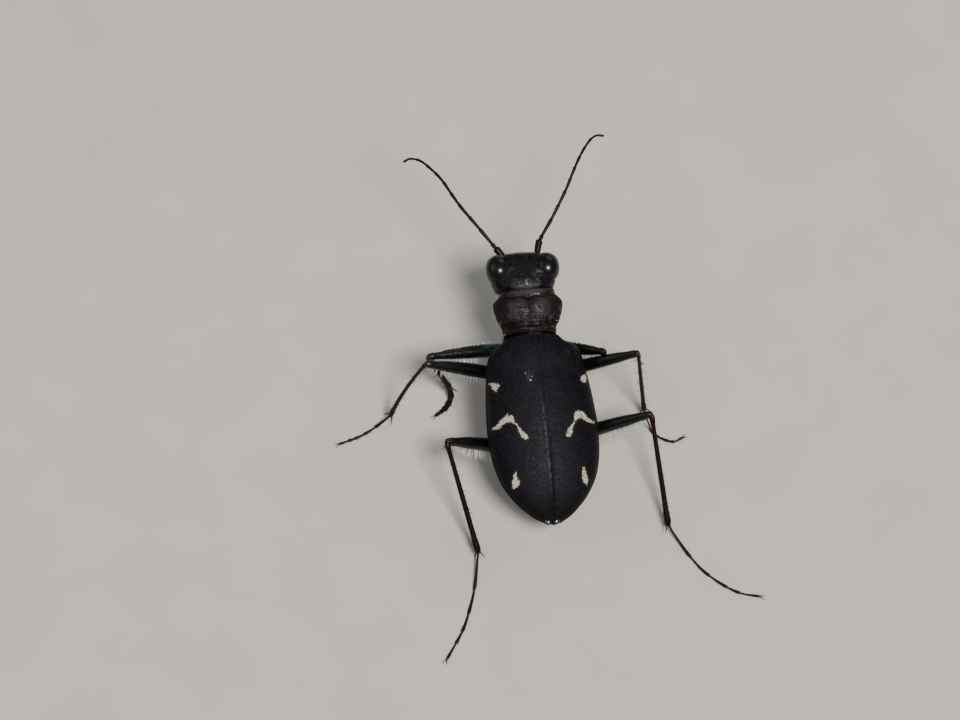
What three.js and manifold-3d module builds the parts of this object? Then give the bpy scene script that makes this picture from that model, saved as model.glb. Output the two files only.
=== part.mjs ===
import * as THREE from 'three';
import { mergeVertices } from 'three/addons/utils/BufferGeometryUtils.js';
import Module from 'manifold-3d';

// A tiger beetle about 14 mm long, standing alert with its head raised.
// Millimetres, +Z up. The head faces -Y, the beetle's left side is +X and the feet stand on z = 0.
// Body plates are drawn lying flat: x is across, y runs back from the base of the wing covers,
// and z is the height over that base. Nested groups then tilt the body, lean the hind body a little
// to its right, and turn the fore body and head.

const wasm = await Module();
wasm.setup();

// Stance of the body
const BODY_PITCH = 16;
const BODY_BASE = { x: -0.08, y: -2.07, z: 5.6 };
const HIND_LEAN = -7;
const HIND_YAW = -1;
const HIND_SHIFT = -0.25;
const FORE_YAW = -3.5;
const FORE_SHIFT = -0.05;
const HEAD_YAW = -0.5;
const NECK = { x: 0.13, y: -2.12 };

// Gaps between neighbouring plates and limbs
const GAP = 0.15;
const SUTURE_GAP = 0.1;

// Wing covers
const COVER_LENGTH = 8.72;
const COVER_HALF_WIDTH = 2.54;
const COVER_THICKNESS = 0.4;
const COVER_RIM = -1.2;
const SCUTELLUM_LENGTH = 0.62;
const SCUTELLUM_HALF_WIDTH = 0.33;

// Trunk under the wing covers
const THORAX_START = 0.08;
const THORAX_END = 4.1;
const ABDOMEN_END = 8.3;
const BELLY = -2.9;
const STERNITES = 6;

// Fore body
const PRONOTUM_END = -0.2;
const PRONOTUM_LENGTH = 2;
const PRONOTUM_HALF_WIDTH = 1.57;
const HEAD_LENGTH = 1.88;
const HEAD_HALF_WIDTH = 1.46;
const HEAD_BACK = -0.24;
const EYE = { x: 0.84, y: -1.12, z: -0.9, reach: 0.88, long: 0.68, high: 0.7 };

// Limbs
const HIP_LEAN = { front: 0.55, middle: 0.1, hind: 0.65 };
const HIP_DROP = 1.2;
const LIMB_RADIUS = 0.25;
const COXA_RADIUS = 0.4;
const FEMUR_RADIUS = 0.27;
const FOOT_RADIUS = 0.25;
const FEELER_RADIUS = 0.25;
const FEELER_TIP_RADIUS = 0.12;

// Colours of the living beetle
const BLACK = 0x17161a;
const MAROON = 0x2c1c20;
const GREEN_BLACK = 0x18221c;
const BELLY_GREEN = 0x20403c;
const SHIN_BROWN = 0x2a1713;
const FOOT_BLACK = 0x1a1c24;
const EYE_BROWN = 0x120e0f;
const IVORY = 0xd8cfae;

const radians = THREE.MathUtils.degToRad;
const at = (x, y, z) => new THREE.Vector3(x, y, z);

/** Gives a smooth function of one place through a few [place, value] pairs. */
function profile(pairs) {
  const last = pairs.length - 1;
  const slope = pairs.map((pair, i) => {
    const before = pairs[Math.max(i - 1, 0)];
    const after = pairs[Math.min(i + 1, last)];
    return (after[1] - before[1]) / (after[0] - before[0]);
  });
  return (place) => {
    const next = pairs.findIndex((pair) => pair[0] > place);
    const i = next < 0 ? last - 1 : Math.max(next - 1, 0);
    const span = pairs[i + 1][0] - pairs[i][0];
    const u = THREE.MathUtils.clamp((place - pairs[i][0]) / span, 0, 1);
    const rise = u * u * (3 - 2 * u);
    const swing = u * (1 - u) * span * ((1 - u) * slope[i] - u * slope[i + 1]);
    return pairs[i][1] + (pairs[i + 1][1] - pairs[i][1]) * rise + swing;
  };
}

/** Makes a closed geometry of points and corner numbers, with its faces turned outward. */
function solid(points, corners) {
  let volume = 0;
  for (let c = 0; c < corners.length; c += 3) {
    const [a, b, d] = corners.slice(c, c + 3).map((k) => points[k]);
    volume += a.dot(b.clone().cross(d));
  }
  const outward = volume > 0 ? corners : [...corners].reverse();
  const geometry = new THREE.BufferGeometry().setFromPoints(points);
  geometry.setIndex(outward);
  return geometry;
}

/** Joins a row of equal rings into a closed body, with a fan over each end. */
function loft(rings) {
  const sides = rings[0].length;
  const middle = (ring) => ring.reduce((sum, p) => sum.add(p), at(0, 0, 0)).divideScalar(sides);
  const points = [...rings.flat(), middle(rings[0]), middle(rings.at(-1))];
  const fan = rings.length * sides;
  const corners = [];
  for (let s = 0; s < sides; s++) {
    const next = (s + 1) % sides;
    for (let r = 0; r + 1 < rings.length; r++) {
      const [a, b] = [r * sides + s, r * sides + next];
      corners.push(a, b, b + sides, a, b + sides, a + sides);
    }
    corners.push(fan, next, s, fan + 1, fan - sides + s, fan - sides + next);
  }
  return solid(points, corners);
}

/** Joins an outer and an inner grid of points into one closed sheet with walls round its edge. */
function sheet(outer, inner) {
  const across = outer[0].length;
  const around = 2 * across;
  const rings = outer.map((row, r) => [...row, ...[...inner[r]].reverse()]);
  const corners = [];
  const quad = (a, b, c, d) => corners.push(a, b, c, a, c, d);
  for (let r = 0; r + 1 < rings.length; r++) {
    for (let s = 0; s < around; s++) {
      const next = (s + 1) % around;
      quad(r * around + s, r * around + next, (r + 1) * around + next, (r + 1) * around + s);
    }
  }
  const end = (rings.length - 1) * around;
  for (let s = 0; s + 1 < across; s++) {
    quad(s + 1, s, around - 1 - s, around - 2 - s);
    quad(end + s, end + s + 1, end + around - 2 - s, end + around - 1 - s);
  }
  return solid(rings.flat(), corners);
}

/** Gives a cross ring of a body plate: flattened above and below, widest at its waist. */
function section(y, halfWidth, top, waist, bottom, sides = 20, square = 0.85) {
  const bulge = (value) => Math.sign(value) * Math.abs(value) ** square;
  return Array.from({ length: sides }, (_, s) => {
    const turn = (2 * Math.PI * s) / sides;
    const reach = Math.sin(turn) > 0 ? top - waist : waist - bottom;
    return at(halfWidth * bulge(Math.cos(turn)), y, waist + reach * bulge(Math.sin(turn)));
  });
}

/** Gives the directions along a path of points, and an unturning side direction at each. */
function frames(path, up) {
  const along = path.map((_, i) => {
    const before = path[Math.max(i - 1, 0)];
    const after = path[Math.min(i + 1, path.length - 1)];
    return after.clone().sub(before).normalize();
  });
  const side = [];
  along.forEach((direction, i) => {
    const seed = i === 0 ? direction.clone().cross(up) : side[i - 1].clone();
    side.push(seed.addScaledVector(direction, -seed.dot(direction)).normalize());
  });
  return { along, side };
}

/**
 * Makes a tapered limb along a path. An end is rounded, or mitred against the next limb
 * where a cut { point, normal } is given, so that two limbs meet face to face at a joint.
 */
function limb(path, radii, { sides = 8, up = at(0, 0, 1), startCut, endCut } = {}) {
  const { along, side } = frames(path, up);
  const ring = (centre, direction, across, radius) => {
    const lift = across.clone().cross(direction);
    return Array.from({ length: sides }, (_, s) => {
      const turn = (2 * Math.PI * (s + 0.5)) / sides;
      const point = centre.clone().addScaledVector(across, radius * Math.cos(turn));
      return point.addScaledVector(lift, radius * Math.sin(turn));
    });
  };
  const rings = path.map((centre, i) => ring(centre, along[i], side[i], radii[i]));
  const mitre = (points, outward, radius, cut) => points.map((point) => {
    const room = cut.point.clone().sub(point).dot(cut.normal) / outward.dot(cut.normal);
    return point.clone().addScaledVector(outward, Math.min(room, 0.6 * radius));
  });
  const last = path.length - 1;
  const back = along[0].clone().negate();
  if (startCut) {
    rings[0] = mitre(rings[0], back, radii[0], startCut);
  } else {
    const cap = path[0].clone().addScaledVector(back, 0.4 * radii[0]);
    rings.unshift(ring(cap, along[0], side[0], 0.6 * radii[0]));
  }
  if (endCut) {
    rings[rings.length - 1] = mitre(rings.at(-1), along[last], radii[last], endCut);
  } else {
    const cap = path[last].clone().addScaledVector(along[last], 0.4 * radii[last]);
    rings.push(ring(cap, along[last], side[last], 0.6 * radii[last]));
  }
  return loft(rings);
}

/** Gives the two cuts of a joint between a limb that arrives and one that leaves it. */
function joint(from, centre, to) {
  const arriving = centre.clone().sub(from).normalize();
  const leaving = to.clone().sub(centre).normalize();
  const normal = arriving.add(leaving).normalize();
  const shifted = (distance) => centre.clone().addScaledVector(normal, distance);
  return {
    before: { point: shifted(-GAP / 2), normal },
    after: { point: shifted(GAP / 2), normal },
  };
}

/** Turns a closed geometry into a manifold for joining and cutting. */
function manifold(geometry) {
  const bare = new THREE.BufferGeometry();
  bare.setAttribute('position', geometry.getAttribute('position').clone());
  bare.setIndex(geometry.index ? geometry.index.clone() : null);
  const merged = mergeVertices(bare, 1e-5);
  const vertProperties = new Float32Array(merged.getAttribute('position').array);
  const triVerts = new Uint32Array(merged.index.array);
  return new wasm.Manifold(new wasm.Mesh({ numProp: 3, vertProperties, triVerts }));
}

/** Gives the largest closed surface of a manifold as a geometry. */
function largest(body) {
  const pieces = body.decompose().sort((a, b) => b.volume() - a.volume());
  const { vertProperties, triVerts } = pieces[0].getMesh();
  const geometry = new THREE.BufferGeometry();
  geometry.setAttribute('position', new THREE.BufferAttribute(new Float32Array(vertProperties), 3));
  geometry.setIndex(new THREE.BufferAttribute(new Uint32Array(triVerts), 1));
  return geometry;
}

const join = (...pieces) => largest(pieces.map(manifold).reduce((whole, piece) => whole.add(piece)));
const carve = (piece, ...tools) => largest(
  tools.map(manifold).reduce((whole, tool) => whole.subtract(tool), manifold(piece)),
);

const beetle = new THREE.Group();
const body = new THREE.Group();
const hindBody = new THREE.Group();
const foreBody = new THREE.Group();
const head = new THREE.Group();
body.position.set(BODY_BASE.x, BODY_BASE.y, BODY_BASE.z);
body.rotation.x = -radians(BODY_PITCH);
hindBody.position.x = HIND_SHIFT;
hindBody.rotation.set(0, radians(HIND_LEAN), radians(HIND_YAW));
foreBody.position.x = FORE_SHIFT;
foreBody.rotation.z = radians(FORE_YAW);
head.position.set(NECK.x, NECK.y, 0);
head.rotation.z = radians(HEAD_YAW);
beetle.add(body);
body.add(hindBody, foreBody);
foreBody.add(head);
beetle.updateMatrixWorld(true);

/** Adds one named piece to a group, with its colour and finish. */
function add(group, name, geometry, color, roughness = 0.45, metalness = 0.1) {
  const material = new THREE.MeshStandardMaterial({ color, roughness, metalness });
  const mesh = new THREE.Mesh(geometry, material);
  mesh.name = name;
  group.add(mesh);
}

const SIDES = { left: 1, right: -1 };

// Lengthwise profiles of the wing covers: crest along the suture, outline and rim at the margin
const coverCrest = profile([[0, -0.15], [0.6, 0], [2, 0.06], [4, 0.08], [5.5, 0], [6.8, -0.22],
  [7.8, -0.55], [8.4, -0.85], [COVER_LENGTH, -1.02]]);
const coverOutline = new THREE.SplineCurve([
  [1.15, 0.05], [1.75, 0.27], [2.14, 0.72], [2.3, 1.7], [2.48, 3.1], [COVER_HALF_WIDTH, 4.4],
  [2.46, 5.6], [2.15, 6.7], [1.62, 7.55], [0.9, 8.25], [0.3, 8.62],
].map(([x, y]) => new THREE.Vector2(x, y)));
const coverRim = profile([[0, -0.5], [0.1, -0.95], [0.2, COVER_RIM], [0.9, -1.15], [1, -1.2]]);

/** Makes one wing cover: a domed shell, open below, that rounds off at the shoulder and tip. */
function wingCover(side) {
  const [rows, across] = [18, 9];
  const layer = (depth) => Array.from({ length: rows + 1 }, (_, r) => {
    const u = r / rows;
    const margin = coverOutline.getPointAt(u);
    const back = 0.05 + (COVER_LENGTH - 0.05) * u;
    const beside = SCUTELLUM_HALF_WIDTH * Math.max(0, 1 - back / SCUTELLUM_LENGTH) + SUTURE_GAP / 2;
    const start = back < SCUTELLUM_LENGTH ? beside + GAP : SUTURE_GAP / 2;
    const rim = coverRim(u);
    const rise = coverCrest(back) - rim;
    const shrinkAcross = 1 - depth / Math.max(margin.x, 1);
    const shrinkUp = 1 - depth / Math.max(rise, 0.9);
    return Array.from({ length: across + 1 }, (_, c) => {
      const turn = (Math.PI / 2) * (c / across);
      const reach = Math.sin(turn) ** 0.85;
      const x = start + (margin.x - start) * reach * shrinkAcross;
      const y = back + (margin.y - back) * reach;
      return at(side * x, y, rim + rise * shrinkUp * Math.cos(turn) ** 0.85);
    });
  });
  return sheet(layer(0), layer(COVER_THICKNESS));
}

/** Makes the small triangle between the bases of the wing covers. */
function scutellum() {
  const plate = (z) => [
    at(-SCUTELLUM_HALF_WIDTH, 0.05, z - 0.1), at(SCUTELLUM_HALF_WIDTH, 0.05, z - 0.1),
    at(0.05, SCUTELLUM_LENGTH - 0.05, z), at(-0.05, SCUTELLUM_LENGTH - 0.05, z),
  ];
  return loft([plate(-0.4), plate(-0.02)]);
}

const trunkHalfWidth = profile([[THORAX_START, 1], [0.4, 1.4], [0.9, 1.65], [1.7, 1.78], [3.1, 1.94],
  [4.4, 2], [5.6, 1.88], [6.7, 1.56], [7.5, 1.08], [ABDOMEN_END, 0.42]]);
const trunkTop = profile([[THORAX_START, -0.72], [0.8, -0.6], [4, -0.5], [5.5, -0.58], [6.8, -0.78],
  [7.6, -0.98], [ABDOMEN_END, -1.2]]);
const trunkBottom = profile([[THORAX_START, -2.1], [0.8, -2.7], [2, BELLY], [3.5, -2.85], [5.5, -2.65],
  [7, -2.3], [ABDOMEN_END, -1.75]]);

/** Gives the ring of the trunk at one place, swollen all round by an allowance. */
function trunkRing(y, swell = 0) {
  const waist = y < 6 ? -1.35 : -1.35 + (y - 6) * 0.02;
  return section(y, trunkHalfWidth(y) + swell, trunkTop(y) + swell, waist, trunkBottom(y) - swell);
}

/** Makes the middle and hind thorax, which carries the middle and hind legs. */
function thorax() {
  const places = [THORAX_START, 0.3, 0.7, 1.3, 2, 2.8, 3.5, THORAX_END];
  return loft(places.map((y) => trunkRing(y)));
}

/** Makes thorax and abdomen in one and swollen by the gap, to fit the hips round them. */
function trunkClearance() {
  const places = [THORAX_START - GAP, 0.3, 0.7, 1.3, 2, 2.8, THORAX_END, 5, 6, 7];
  return loft(places.map((y) => trunkRing(y, GAP)));
}

/** Makes the abdomen, whose plates step in a little at each seam below. */
function abdomen() {
  const start = THORAX_END + GAP;
  const step = (ABDOMEN_END - start) / STERNITES;
  const rings = [];
  for (let s = 0; s < STERNITES; s++) {
    const front = start + s * step;
    rings.push(trunkRing(front, -0.07), trunkRing(front + 0.12, 0), trunkRing(front + step - 0.05, 0));
  }
  rings.push(section(ABDOMEN_END + 0.12, 0.2, -1.3, -1.4, -1.6));
  return loft(rings);
}

const pronotumHalfWidth = profile([[-2.2, 1.26], [-2.02, 1.28], [-1.78, 1.48],
  [-1.4, PRONOTUM_HALF_WIDTH], [-1.1, 1.5], [-0.8, 1.4], [-0.5, 1.26], [PRONOTUM_END, 1.2]]);
const pronotumTop = profile([[-2.2, -0.36], [-2, -0.22], [-1.78, -0.24], [-1.5, -0.06], [-1.1, 0],
  [-0.7, -0.06], [-0.48, -0.17], [-0.32, -0.04], [PRONOTUM_END, -0.1]]);
const pronotumBottom = profile([[-2.2, -1.85], [-1.8, -2.1], [-1, -2.25], [PRONOTUM_END, -2.05]]);

/** Makes the front thorax, a barrel with a sunk line near each end of its back. */
function pronotum(swell = 0) {
  const start = PRONOTUM_END - PRONOTUM_LENGTH;
  const places = [start, -2.1, -1.95, -1.78, -1.6, -1.3, -1, -0.7, -0.56, -0.46, -0.38, -0.3, PRONOTUM_END];
  return loft(places.map((y) => section(
    y, pronotumHalfWidth(y) + swell, pronotumTop(y) + swell, -1.1, pronotumBottom(y) - swell,
  )));
}

/** Makes one bulging eye, a dome whose flat foot faces the middle of the head. */
function eye(side, swell = 0) {
  const steps = 6;
  const rings = Array.from({ length: steps }, (_, r) => {
    const turn = (Math.PI / 2) * (r / steps);
    const x = EYE.x - swell + (EYE.reach + 2 * swell) * Math.sin(turn);
    const wide = Math.cos(turn) ** 0.85;
    return Array.from({ length: 16 }, (_, s) => {
      const around = (2 * Math.PI * s) / 16;
      const y = EYE.y + (EYE.long + swell) * wide * Math.cos(around);
      return at(side * x, y, EYE.z + (EYE.high + swell) * wide * Math.sin(around));
    });
  });
  rings.push(rings.at(-1).map((point) => at(
    side * (EYE.x + EYE.reach + swell), THREE.MathUtils.lerp(EYE.y, point.y, 0.3),
    THREE.MathUtils.lerp(EYE.z, point.z, 0.3),
  )));
  return loft(rings);
}

const skullHalfWidth = profile([[-HEAD_LENGTH, 0.5], [-1.82, 0.8], [-1.7, 0.98], [-1.5, 1.12],
  [-1.2, 1.26], [-0.9, 1.4], [-0.6, HEAD_HALF_WIDTH], [-0.35, 1.42], [HEAD_BACK, 1.36]]);
const skullTop = profile([[-HEAD_LENGTH, -1.02], [-1.82, -0.8], [-1.7, -0.55], [-1.5, -0.42],
  [-1.2, -0.35], [-0.6, -0.28], [-0.35, -0.26], [HEAD_BACK, -0.3]]);
const skullBottom = profile([[-HEAD_LENGTH, -1.6], [-1.82, -1.78], [-1.7, -1.98], [-1.5, -2.28],
  [-1.2, -2.35], [-0.6, -2.2], [HEAD_BACK, -1.9]]);

/** Makes the head capsule with a socket for each eye. */
function skull() {
  const places = [-HEAD_LENGTH, -1.82, -1.7, -1.5, -1.2, -0.9, -0.6, -0.35, HEAD_BACK];
  const capsule = loft(places.map((y) => section(
    y, skullHalfWidth(y), skullTop(y), -1.25, skullBottom(y), 24,
  )));
  return carve(capsule, eye(SIDES.left, GAP * 0.8), eye(SIDES.right, GAP * 0.8));
}

/** Makes the upper lip, a pale plate with three low teeth along its edge. */
function labrum() {
  const bar = (z, half, y) => section(0, half, 0.12, 0, -0.12, 12).map((p) => at(p.x, y + p.z, z));
  const plate = loft([bar(-1.94, 0.5, -1.94), bar(-2.15, 0.62, -1.94), bar(-2.42, 0.6, -1.9)]);
  const teeth = [-0.26, 0, 0.26].map((x) => limb(
    [at(x, -1.9, -2.35), at(x, -1.9, -2.52)], [0.1, 0.05], { sides: 6, up: at(1, 0, 0) },
  ));
  return join(plate, ...teeth);
}

/** Makes one sickle jaw with two teeth on its inner edge; the tips cross one before the other. */
function mandible(side) {
  const tipY = side > 0 ? -2.06 : -1.76;
  const path = [at(0.8, -1.5, -2.52), at(1, -1.78, -2.82), at(0.86, -1.96, -3.1),
    at(0.5, tipY + 0.02, -3.34), at(0.02, tipY, -3.42)].map((p) => at(side * p.x, p.y, p.z));
  const blade = limb(path, [0.22, 0.21, 0.17, 0.12, 0.05]);
  const tooth = (from, to) => {
    const ends = [at(side * from.x, from.y, from.z), at(side * to.x, to.y, to.z)];
    return limb(ends, [0.1, 0.04], { sides: 6, up: at(0, 1, 0) });
  };
  return join(
    blade,
    tooth(at(0.92, -1.88, -2.95), at(0.56, tipY + 0.04, -2.84)),
    tooth(at(0.7, tipY + 0.05, -3.2), at(0.36, tipY + 0.02, -3.08)),
  );
}

/** Makes one mouth feeler of three short lengths that thicken to their ends. */
function palp(side, points) {
  return limb(points.map(([x, y, z]) => at(side * x, y, z)), [0.13, 0.18, 0.14, 0.18, 0.12]);
}

const OUTER_PALP = [[0.98, -1.02, -2.52], [1.14, -1.08, -2.78], [1.2, -1.3, -3], [1.2, -1.5, -3.22],
  [1.12, -1.7, -3.46]];
const INNER_PALP = [[0.4, -0.95, -2.6], [0.5, -1, -2.86], [0.56, -1.16, -3.08], [0.56, -1.34, -3.32],
  [0.5, -1.5, -3.56]];

for (const [name, side] of Object.entries(SIDES)) {
  add(hindBody, `elytron_${name}`, wingCover(side), BLACK, 0.6);
  add(head, `eye_${name}`, eye(side), EYE_BROWN, 0.15);
  add(head, `mandible_${name}`, mandible(side), IVORY, 0.35);
  add(head, `maxillary_palp_${name}`, palp(side, OUTER_PALP), SHIN_BROWN);
  add(head, `labial_palp_${name}`, palp(side, INNER_PALP), SHIN_BROWN);
}
add(hindBody, 'scutellum', scutellum(), BLACK, 0.6);
add(hindBody, 'thorax', thorax(), BELLY_GREEN, 0.35, 0.5);
add(hindBody, 'abdomen', abdomen(), BELLY_GREEN, 0.35, 0.5);
add(foreBody, 'pronotum', pronotum(), MAROON, 0.5);
add(head, 'head', skull(), BLACK, 0.4);
add(head, 'labrum', labrum(), IVORY, 0.4);

// Legs: hip in the plate's own place, then knee, ankle and foot points on the floor frame
const LEGS = {
  front_left: {
    hip: [0.85, 0.08, -3.05], knee: [4.58, -2.34, 4], ankle: [3.63, -2.3, 0.65],
    foot: [[3.59, -1.95, 0.3], [3.88, -1.51, 0.22], [4.39, -1.18, 0.2]],
  },
  front_right: {
    hip: [-0.85, 0.1, -3.05], knee: [-3.45, -1.38, 4.2], ankle: [-2.33, -2.6, 0.65],
    foot: [[-2.45, -2.24, 0.3], [-2.5, -1.72, 0.22], [-2.4, -1.15, 0.2]],
  },
  middle_left: {
    hip: [0.9, 1.3, -3.15], knee: [4.76, -1.76, 4.5], ankle: [6.49, -1.28, 0.6],
    foot: [[7.25, -0.94, 0.25], [8, -0.61, 0.2], [8.97, -0.36, 0.2]],
  },
  middle_right: {
    hip: [-0.9, 1.42, -3.15], knee: [-4.9, -0.86, 4.7], ankle: [-5.1, 0.04, 0.6],
    foot: [[-5.26, 0.87, 0.25], [-5.57, 1.3, 0.2], [-6.22, 1.65, 0.2], [-6.7, 1.51, 0.2]],
  },
  hind_left: {
    hip: [0.85, 4.66, -3.15], knee: [4.32, 1.92, 3.8], ankle: [3.45, 6.05, 0.5],
    foot: [[3.82, 7.68, 0.25], [4.26, 8.88, 0.2], [4.72, 9.82, 0.2], [5.58, 11.06, 0.2]],
  },
  hind_right: {
    hip: [-0.85, 4.54, -3.15], knee: [-5.14, 1.75, 3.6], ankle: [-5.34, 5.91, 0.5],
    foot: [[-5.8, 6.86, 0.25], [-6.13, 7.5, 0.2], [-6.63, 8.31, 0.2], [-7.43, 9.14, 0.2],
      [-8.16, 9.65, 0.2], [-8.98, 9.93, 0.2]],
  },
};

/** Moves a geometry so that it is drawn from a joint of its own, and hangs it there. */
function addAt(origin, name, geometry, color, roughness, metalness) {
  const group = new THREE.Group();
  group.position.copy(origin);
  geometry.translate(-origin.x, -origin.y, -origin.z);
  beetle.add(group);
  add(group, name, geometry, color, roughness, metalness);
}

/** Gives points between two joints, both included. */
function between(start, end, count) {
  return Array.from({ length: count }, (_, i) => start.clone().lerp(end, i / (count - 1)));
}

/** Makes a short hip piece out of the trunk and down to the first leg joint. */
function coxa(root, hip, cut, trunks) {
  const stub = limb(between(root, hip, 4), [COXA_RADIUS, COXA_RADIUS, 0.38, FEMUR_RADIUS], {
    sides: 10, up: at(0, 1, 0), endCut: cut,
  });
  return carve(stub, ...trunks);
}

/** Makes a shin with a pair of spurs at its lower end. */
function tibia(knee, ankle, foot, cuts) {
  const radii = [0.2, LIMB_RADIUS, LIMB_RADIUS, LIMB_RADIUS, 0.27, 0.27];
  const path = between(knee, ankle, radii.length);
  const shin = limb(path, radii, { up: at(0, 1, 0), startCut: cuts.start, endCut: cuts.end });
  const down = ankle.clone().sub(knee).normalize();
  const across = down.clone().cross(foot.clone().sub(ankle)).normalize();
  const spurs = [1, -1].map((turn) => {
    const root = ankle.clone().addScaledVector(down, -0.42).addScaledVector(across, 0.1 * turn);
    const tip = ankle.clone().addScaledVector(down, 0.12).addScaledVector(across, 0.48 * turn);
    tip.z = Math.max(tip.z, 0.16);
    return limb([root, tip], [0.13, 0.04], { sides: 6, up: at(0, 1, 0) });
  });
  return join(shin, ...spurs);
}

/** Makes a foot of five lengths that swell to their ends, and its two claws, flat on the floor. */
function tarsus(ankle, points, cut, broad) {
  const curve = new THREE.CatmullRomCurve3([ankle, ...points]);
  const lengths = [0, 0.34, 0.56, 0.73, 0.84, 1];
  const [path, radii] = [[], []];
  for (let s = 0; s + 1 < lengths.length; s++) {
    const [start, end] = [lengths[s], lengths[s + 1]];
    const swollen = FOOT_RADIUS * (s < 3 ? broad : 1);
    path.push(curve.getPointAt(start + 0.02), curve.getPointAt(start + (end - start) * 0.85));
    radii.push(FOOT_RADIUS * 0.8, swollen);
  }
  path[0] = ankle;
  path.push(curve.getPointAt(1));
  radii.push(FOOT_RADIUS * 0.7);
  const sole = limb(path, radii, { startCut: cut });
  const tip = points.at(-1);
  const ahead = curve.getTangentAt(1).setZ(0).normalize();
  const across = at(-ahead.y, ahead.x, 0);
  const claws = [1, -1].map((turn) => limb([
    tip.clone().addScaledVector(ahead, -0.2).addScaledVector(across, 0.04 * turn).setZ(0.2),
    tip.clone().addScaledVector(ahead, 0.28).addScaledVector(across, 0.24 * turn).setZ(0.22),
    tip.clone().addScaledVector(ahead, 0.52).addScaledVector(across, 0.3 * turn).setZ(0.1),
  ], [0.13, 0.09, 0.04], { sides: 6 }));
  const whole = join(sole, ...claws);
  const place = whole.getAttribute('position');
  for (let i = 0; i < place.count; i++) {
    place.setZ(i, Math.max(place.getZ(i), 0));
  }
  return whole;
}

const trunkShape = trunkClearance().applyMatrix4(hindBody.matrixWorld);
const pronotumShape = pronotum(GAP).applyMatrix4(foreBody.matrixWorld);

for (const [name, leg] of Object.entries(LEGS)) {
  const pair = name.split('_')[0];
  const isFront = pair === 'front';
  const plate = isFront ? foreBody : hindBody;
  const [x, y, z] = leg.hip;
  const hip = at(x, y, z).applyMatrix4(plate.matrixWorld);
  const root = at(x * 0.8, y - HIP_LEAN[pair], z + HIP_DROP).applyMatrix4(plate.matrixWorld);
  const [knee, ankle] = [at(...leg.knee), at(...leg.ankle)];
  const foot = leg.foot.map((point) => at(...point));
  const [hipCut, kneeCut] = [joint(root, hip, knee), joint(hip, knee, ankle)];
  const ankleCut = joint(knee, ankle, foot[0]);
  const thigh = isFront ? FEMUR_RADIUS * 1.15 : FEMUR_RADIUS;
  const femurRadii = [LIMB_RADIUS, thigh, thigh, thigh * 0.93, LIMB_RADIUS, 0.22];
  const femur = limb(between(hip, knee, femurRadii.length), femurRadii, {
    startCut: hipCut.after, endCut: kneeCut.before,
  });
  const coxaShape = coxa(root, hip, hipCut.before, isFront ? [pronotumShape, trunkShape] : [trunkShape]);
  addAt(hip, `coxa_${name}`, coxaShape, BELLY_GREEN, 0.4, 0.4);
  addAt(hip, `femur_${name}`, femur, GREEN_BLACK, 0.4, 0.4);
  addAt(knee, `tibia_${name}`, tibia(knee, ankle, foot[0], { start: kneeCut.after, end: ankleCut.before }),
    SHIN_BROWN);
  addAt(ankle, `tarsus_${name}`, tarsus(ankle, foot, ankleCut.after, isFront ? 1.15 : 1), FOOT_BLACK, 0.35);
}

// Feelers: a thick root length, then two thinner ones, from points on the floor frame
const FEELERS = {
  left: [[0.55, -6.2, 5.42], [0.9, -6.66, 5.66], [1.55, -7.57, 6.1], [2.12, -8.39, 6.4],
    [2.49, -9.03, 6.6], [2.91, -9.85, 6.8], [3.37, -10.47, 6.9], [3.77, -10.88, 6.95],
    [4.21, -11.03, 6.95], [4.53, -10.93, 6.9]],
  right: [[-1.02, -6.28, 5.42], [-1.2, -6.72, 5.66], [-1.86, -7.52, 6.1], [-2.38, -8.23, 6.4],
    [-2.77, -8.81, 6.6], [-3.13, -9.43, 6.8], [-3.58, -10.18, 6.9], [-4.05, -10.78, 6.95],
    [-4.4, -11.03, 6.95], [-4.78, -11, 6.9]],
};
const FEELER_PARTS = { scape: [0, 0.16, 2], middle: [0.16, 0.6, 5], tip: [0.6, 1, 4] };

/** Makes one length of a feeler, with a swelling at the end of each of its joints. */
function feelerLength(curve, [start, end, joints]) {
  const from = start === 0 ? 0.02 : start + (0.5 * GAP) / curve.getLength();
  const to = end - (0.5 * GAP) / curve.getLength();
  const [path, radii] = [[], []];
  for (let j = 0; j < joints; j++) {
    const [near, far] = [j / joints, (j + 0.85) / joints].map((u) => from + (to - from) * u);
    const taper = THREE.MathUtils.lerp(FEELER_RADIUS, FEELER_TIP_RADIUS, near ** 2);
    path.push(curve.getPointAt(near), curve.getPointAt(far));
    radii.push(0.85 * taper, taper);
  }
  return limb(path, radii);
}

for (const name of Object.keys(SIDES)) {
  const curve = new THREE.CatmullRomCurve3(FEELERS[name].map((point) => at(...point)));
  for (const [part, spread] of Object.entries(FEELER_PARTS)) {
    addAt(curve.getPointAt(spread[0]), `antenna_${name}_${part}`, feelerLength(curve, spread), BLACK, 0.4);
  }
}

export default beetle;
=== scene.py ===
import math
import bpy
import numpy as np
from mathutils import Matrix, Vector


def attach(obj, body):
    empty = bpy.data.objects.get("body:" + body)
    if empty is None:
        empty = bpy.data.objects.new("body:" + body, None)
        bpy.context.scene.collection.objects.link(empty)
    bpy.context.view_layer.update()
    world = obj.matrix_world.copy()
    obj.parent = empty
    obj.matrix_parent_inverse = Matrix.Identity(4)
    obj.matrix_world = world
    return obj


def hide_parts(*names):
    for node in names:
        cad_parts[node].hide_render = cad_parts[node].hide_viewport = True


# A black tiger beetle about 14 mm long, dressed over its plain solids.
# Shapes are worked out in millimetres. The head faces -Y, the beetle's left side is +X, +Z is up.
# Body plates are drawn lying flat: x is across, y runs back from the base of the wing covers, z is
# the height over that base. They are then tilted with the body and turned with the fore body.

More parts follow.
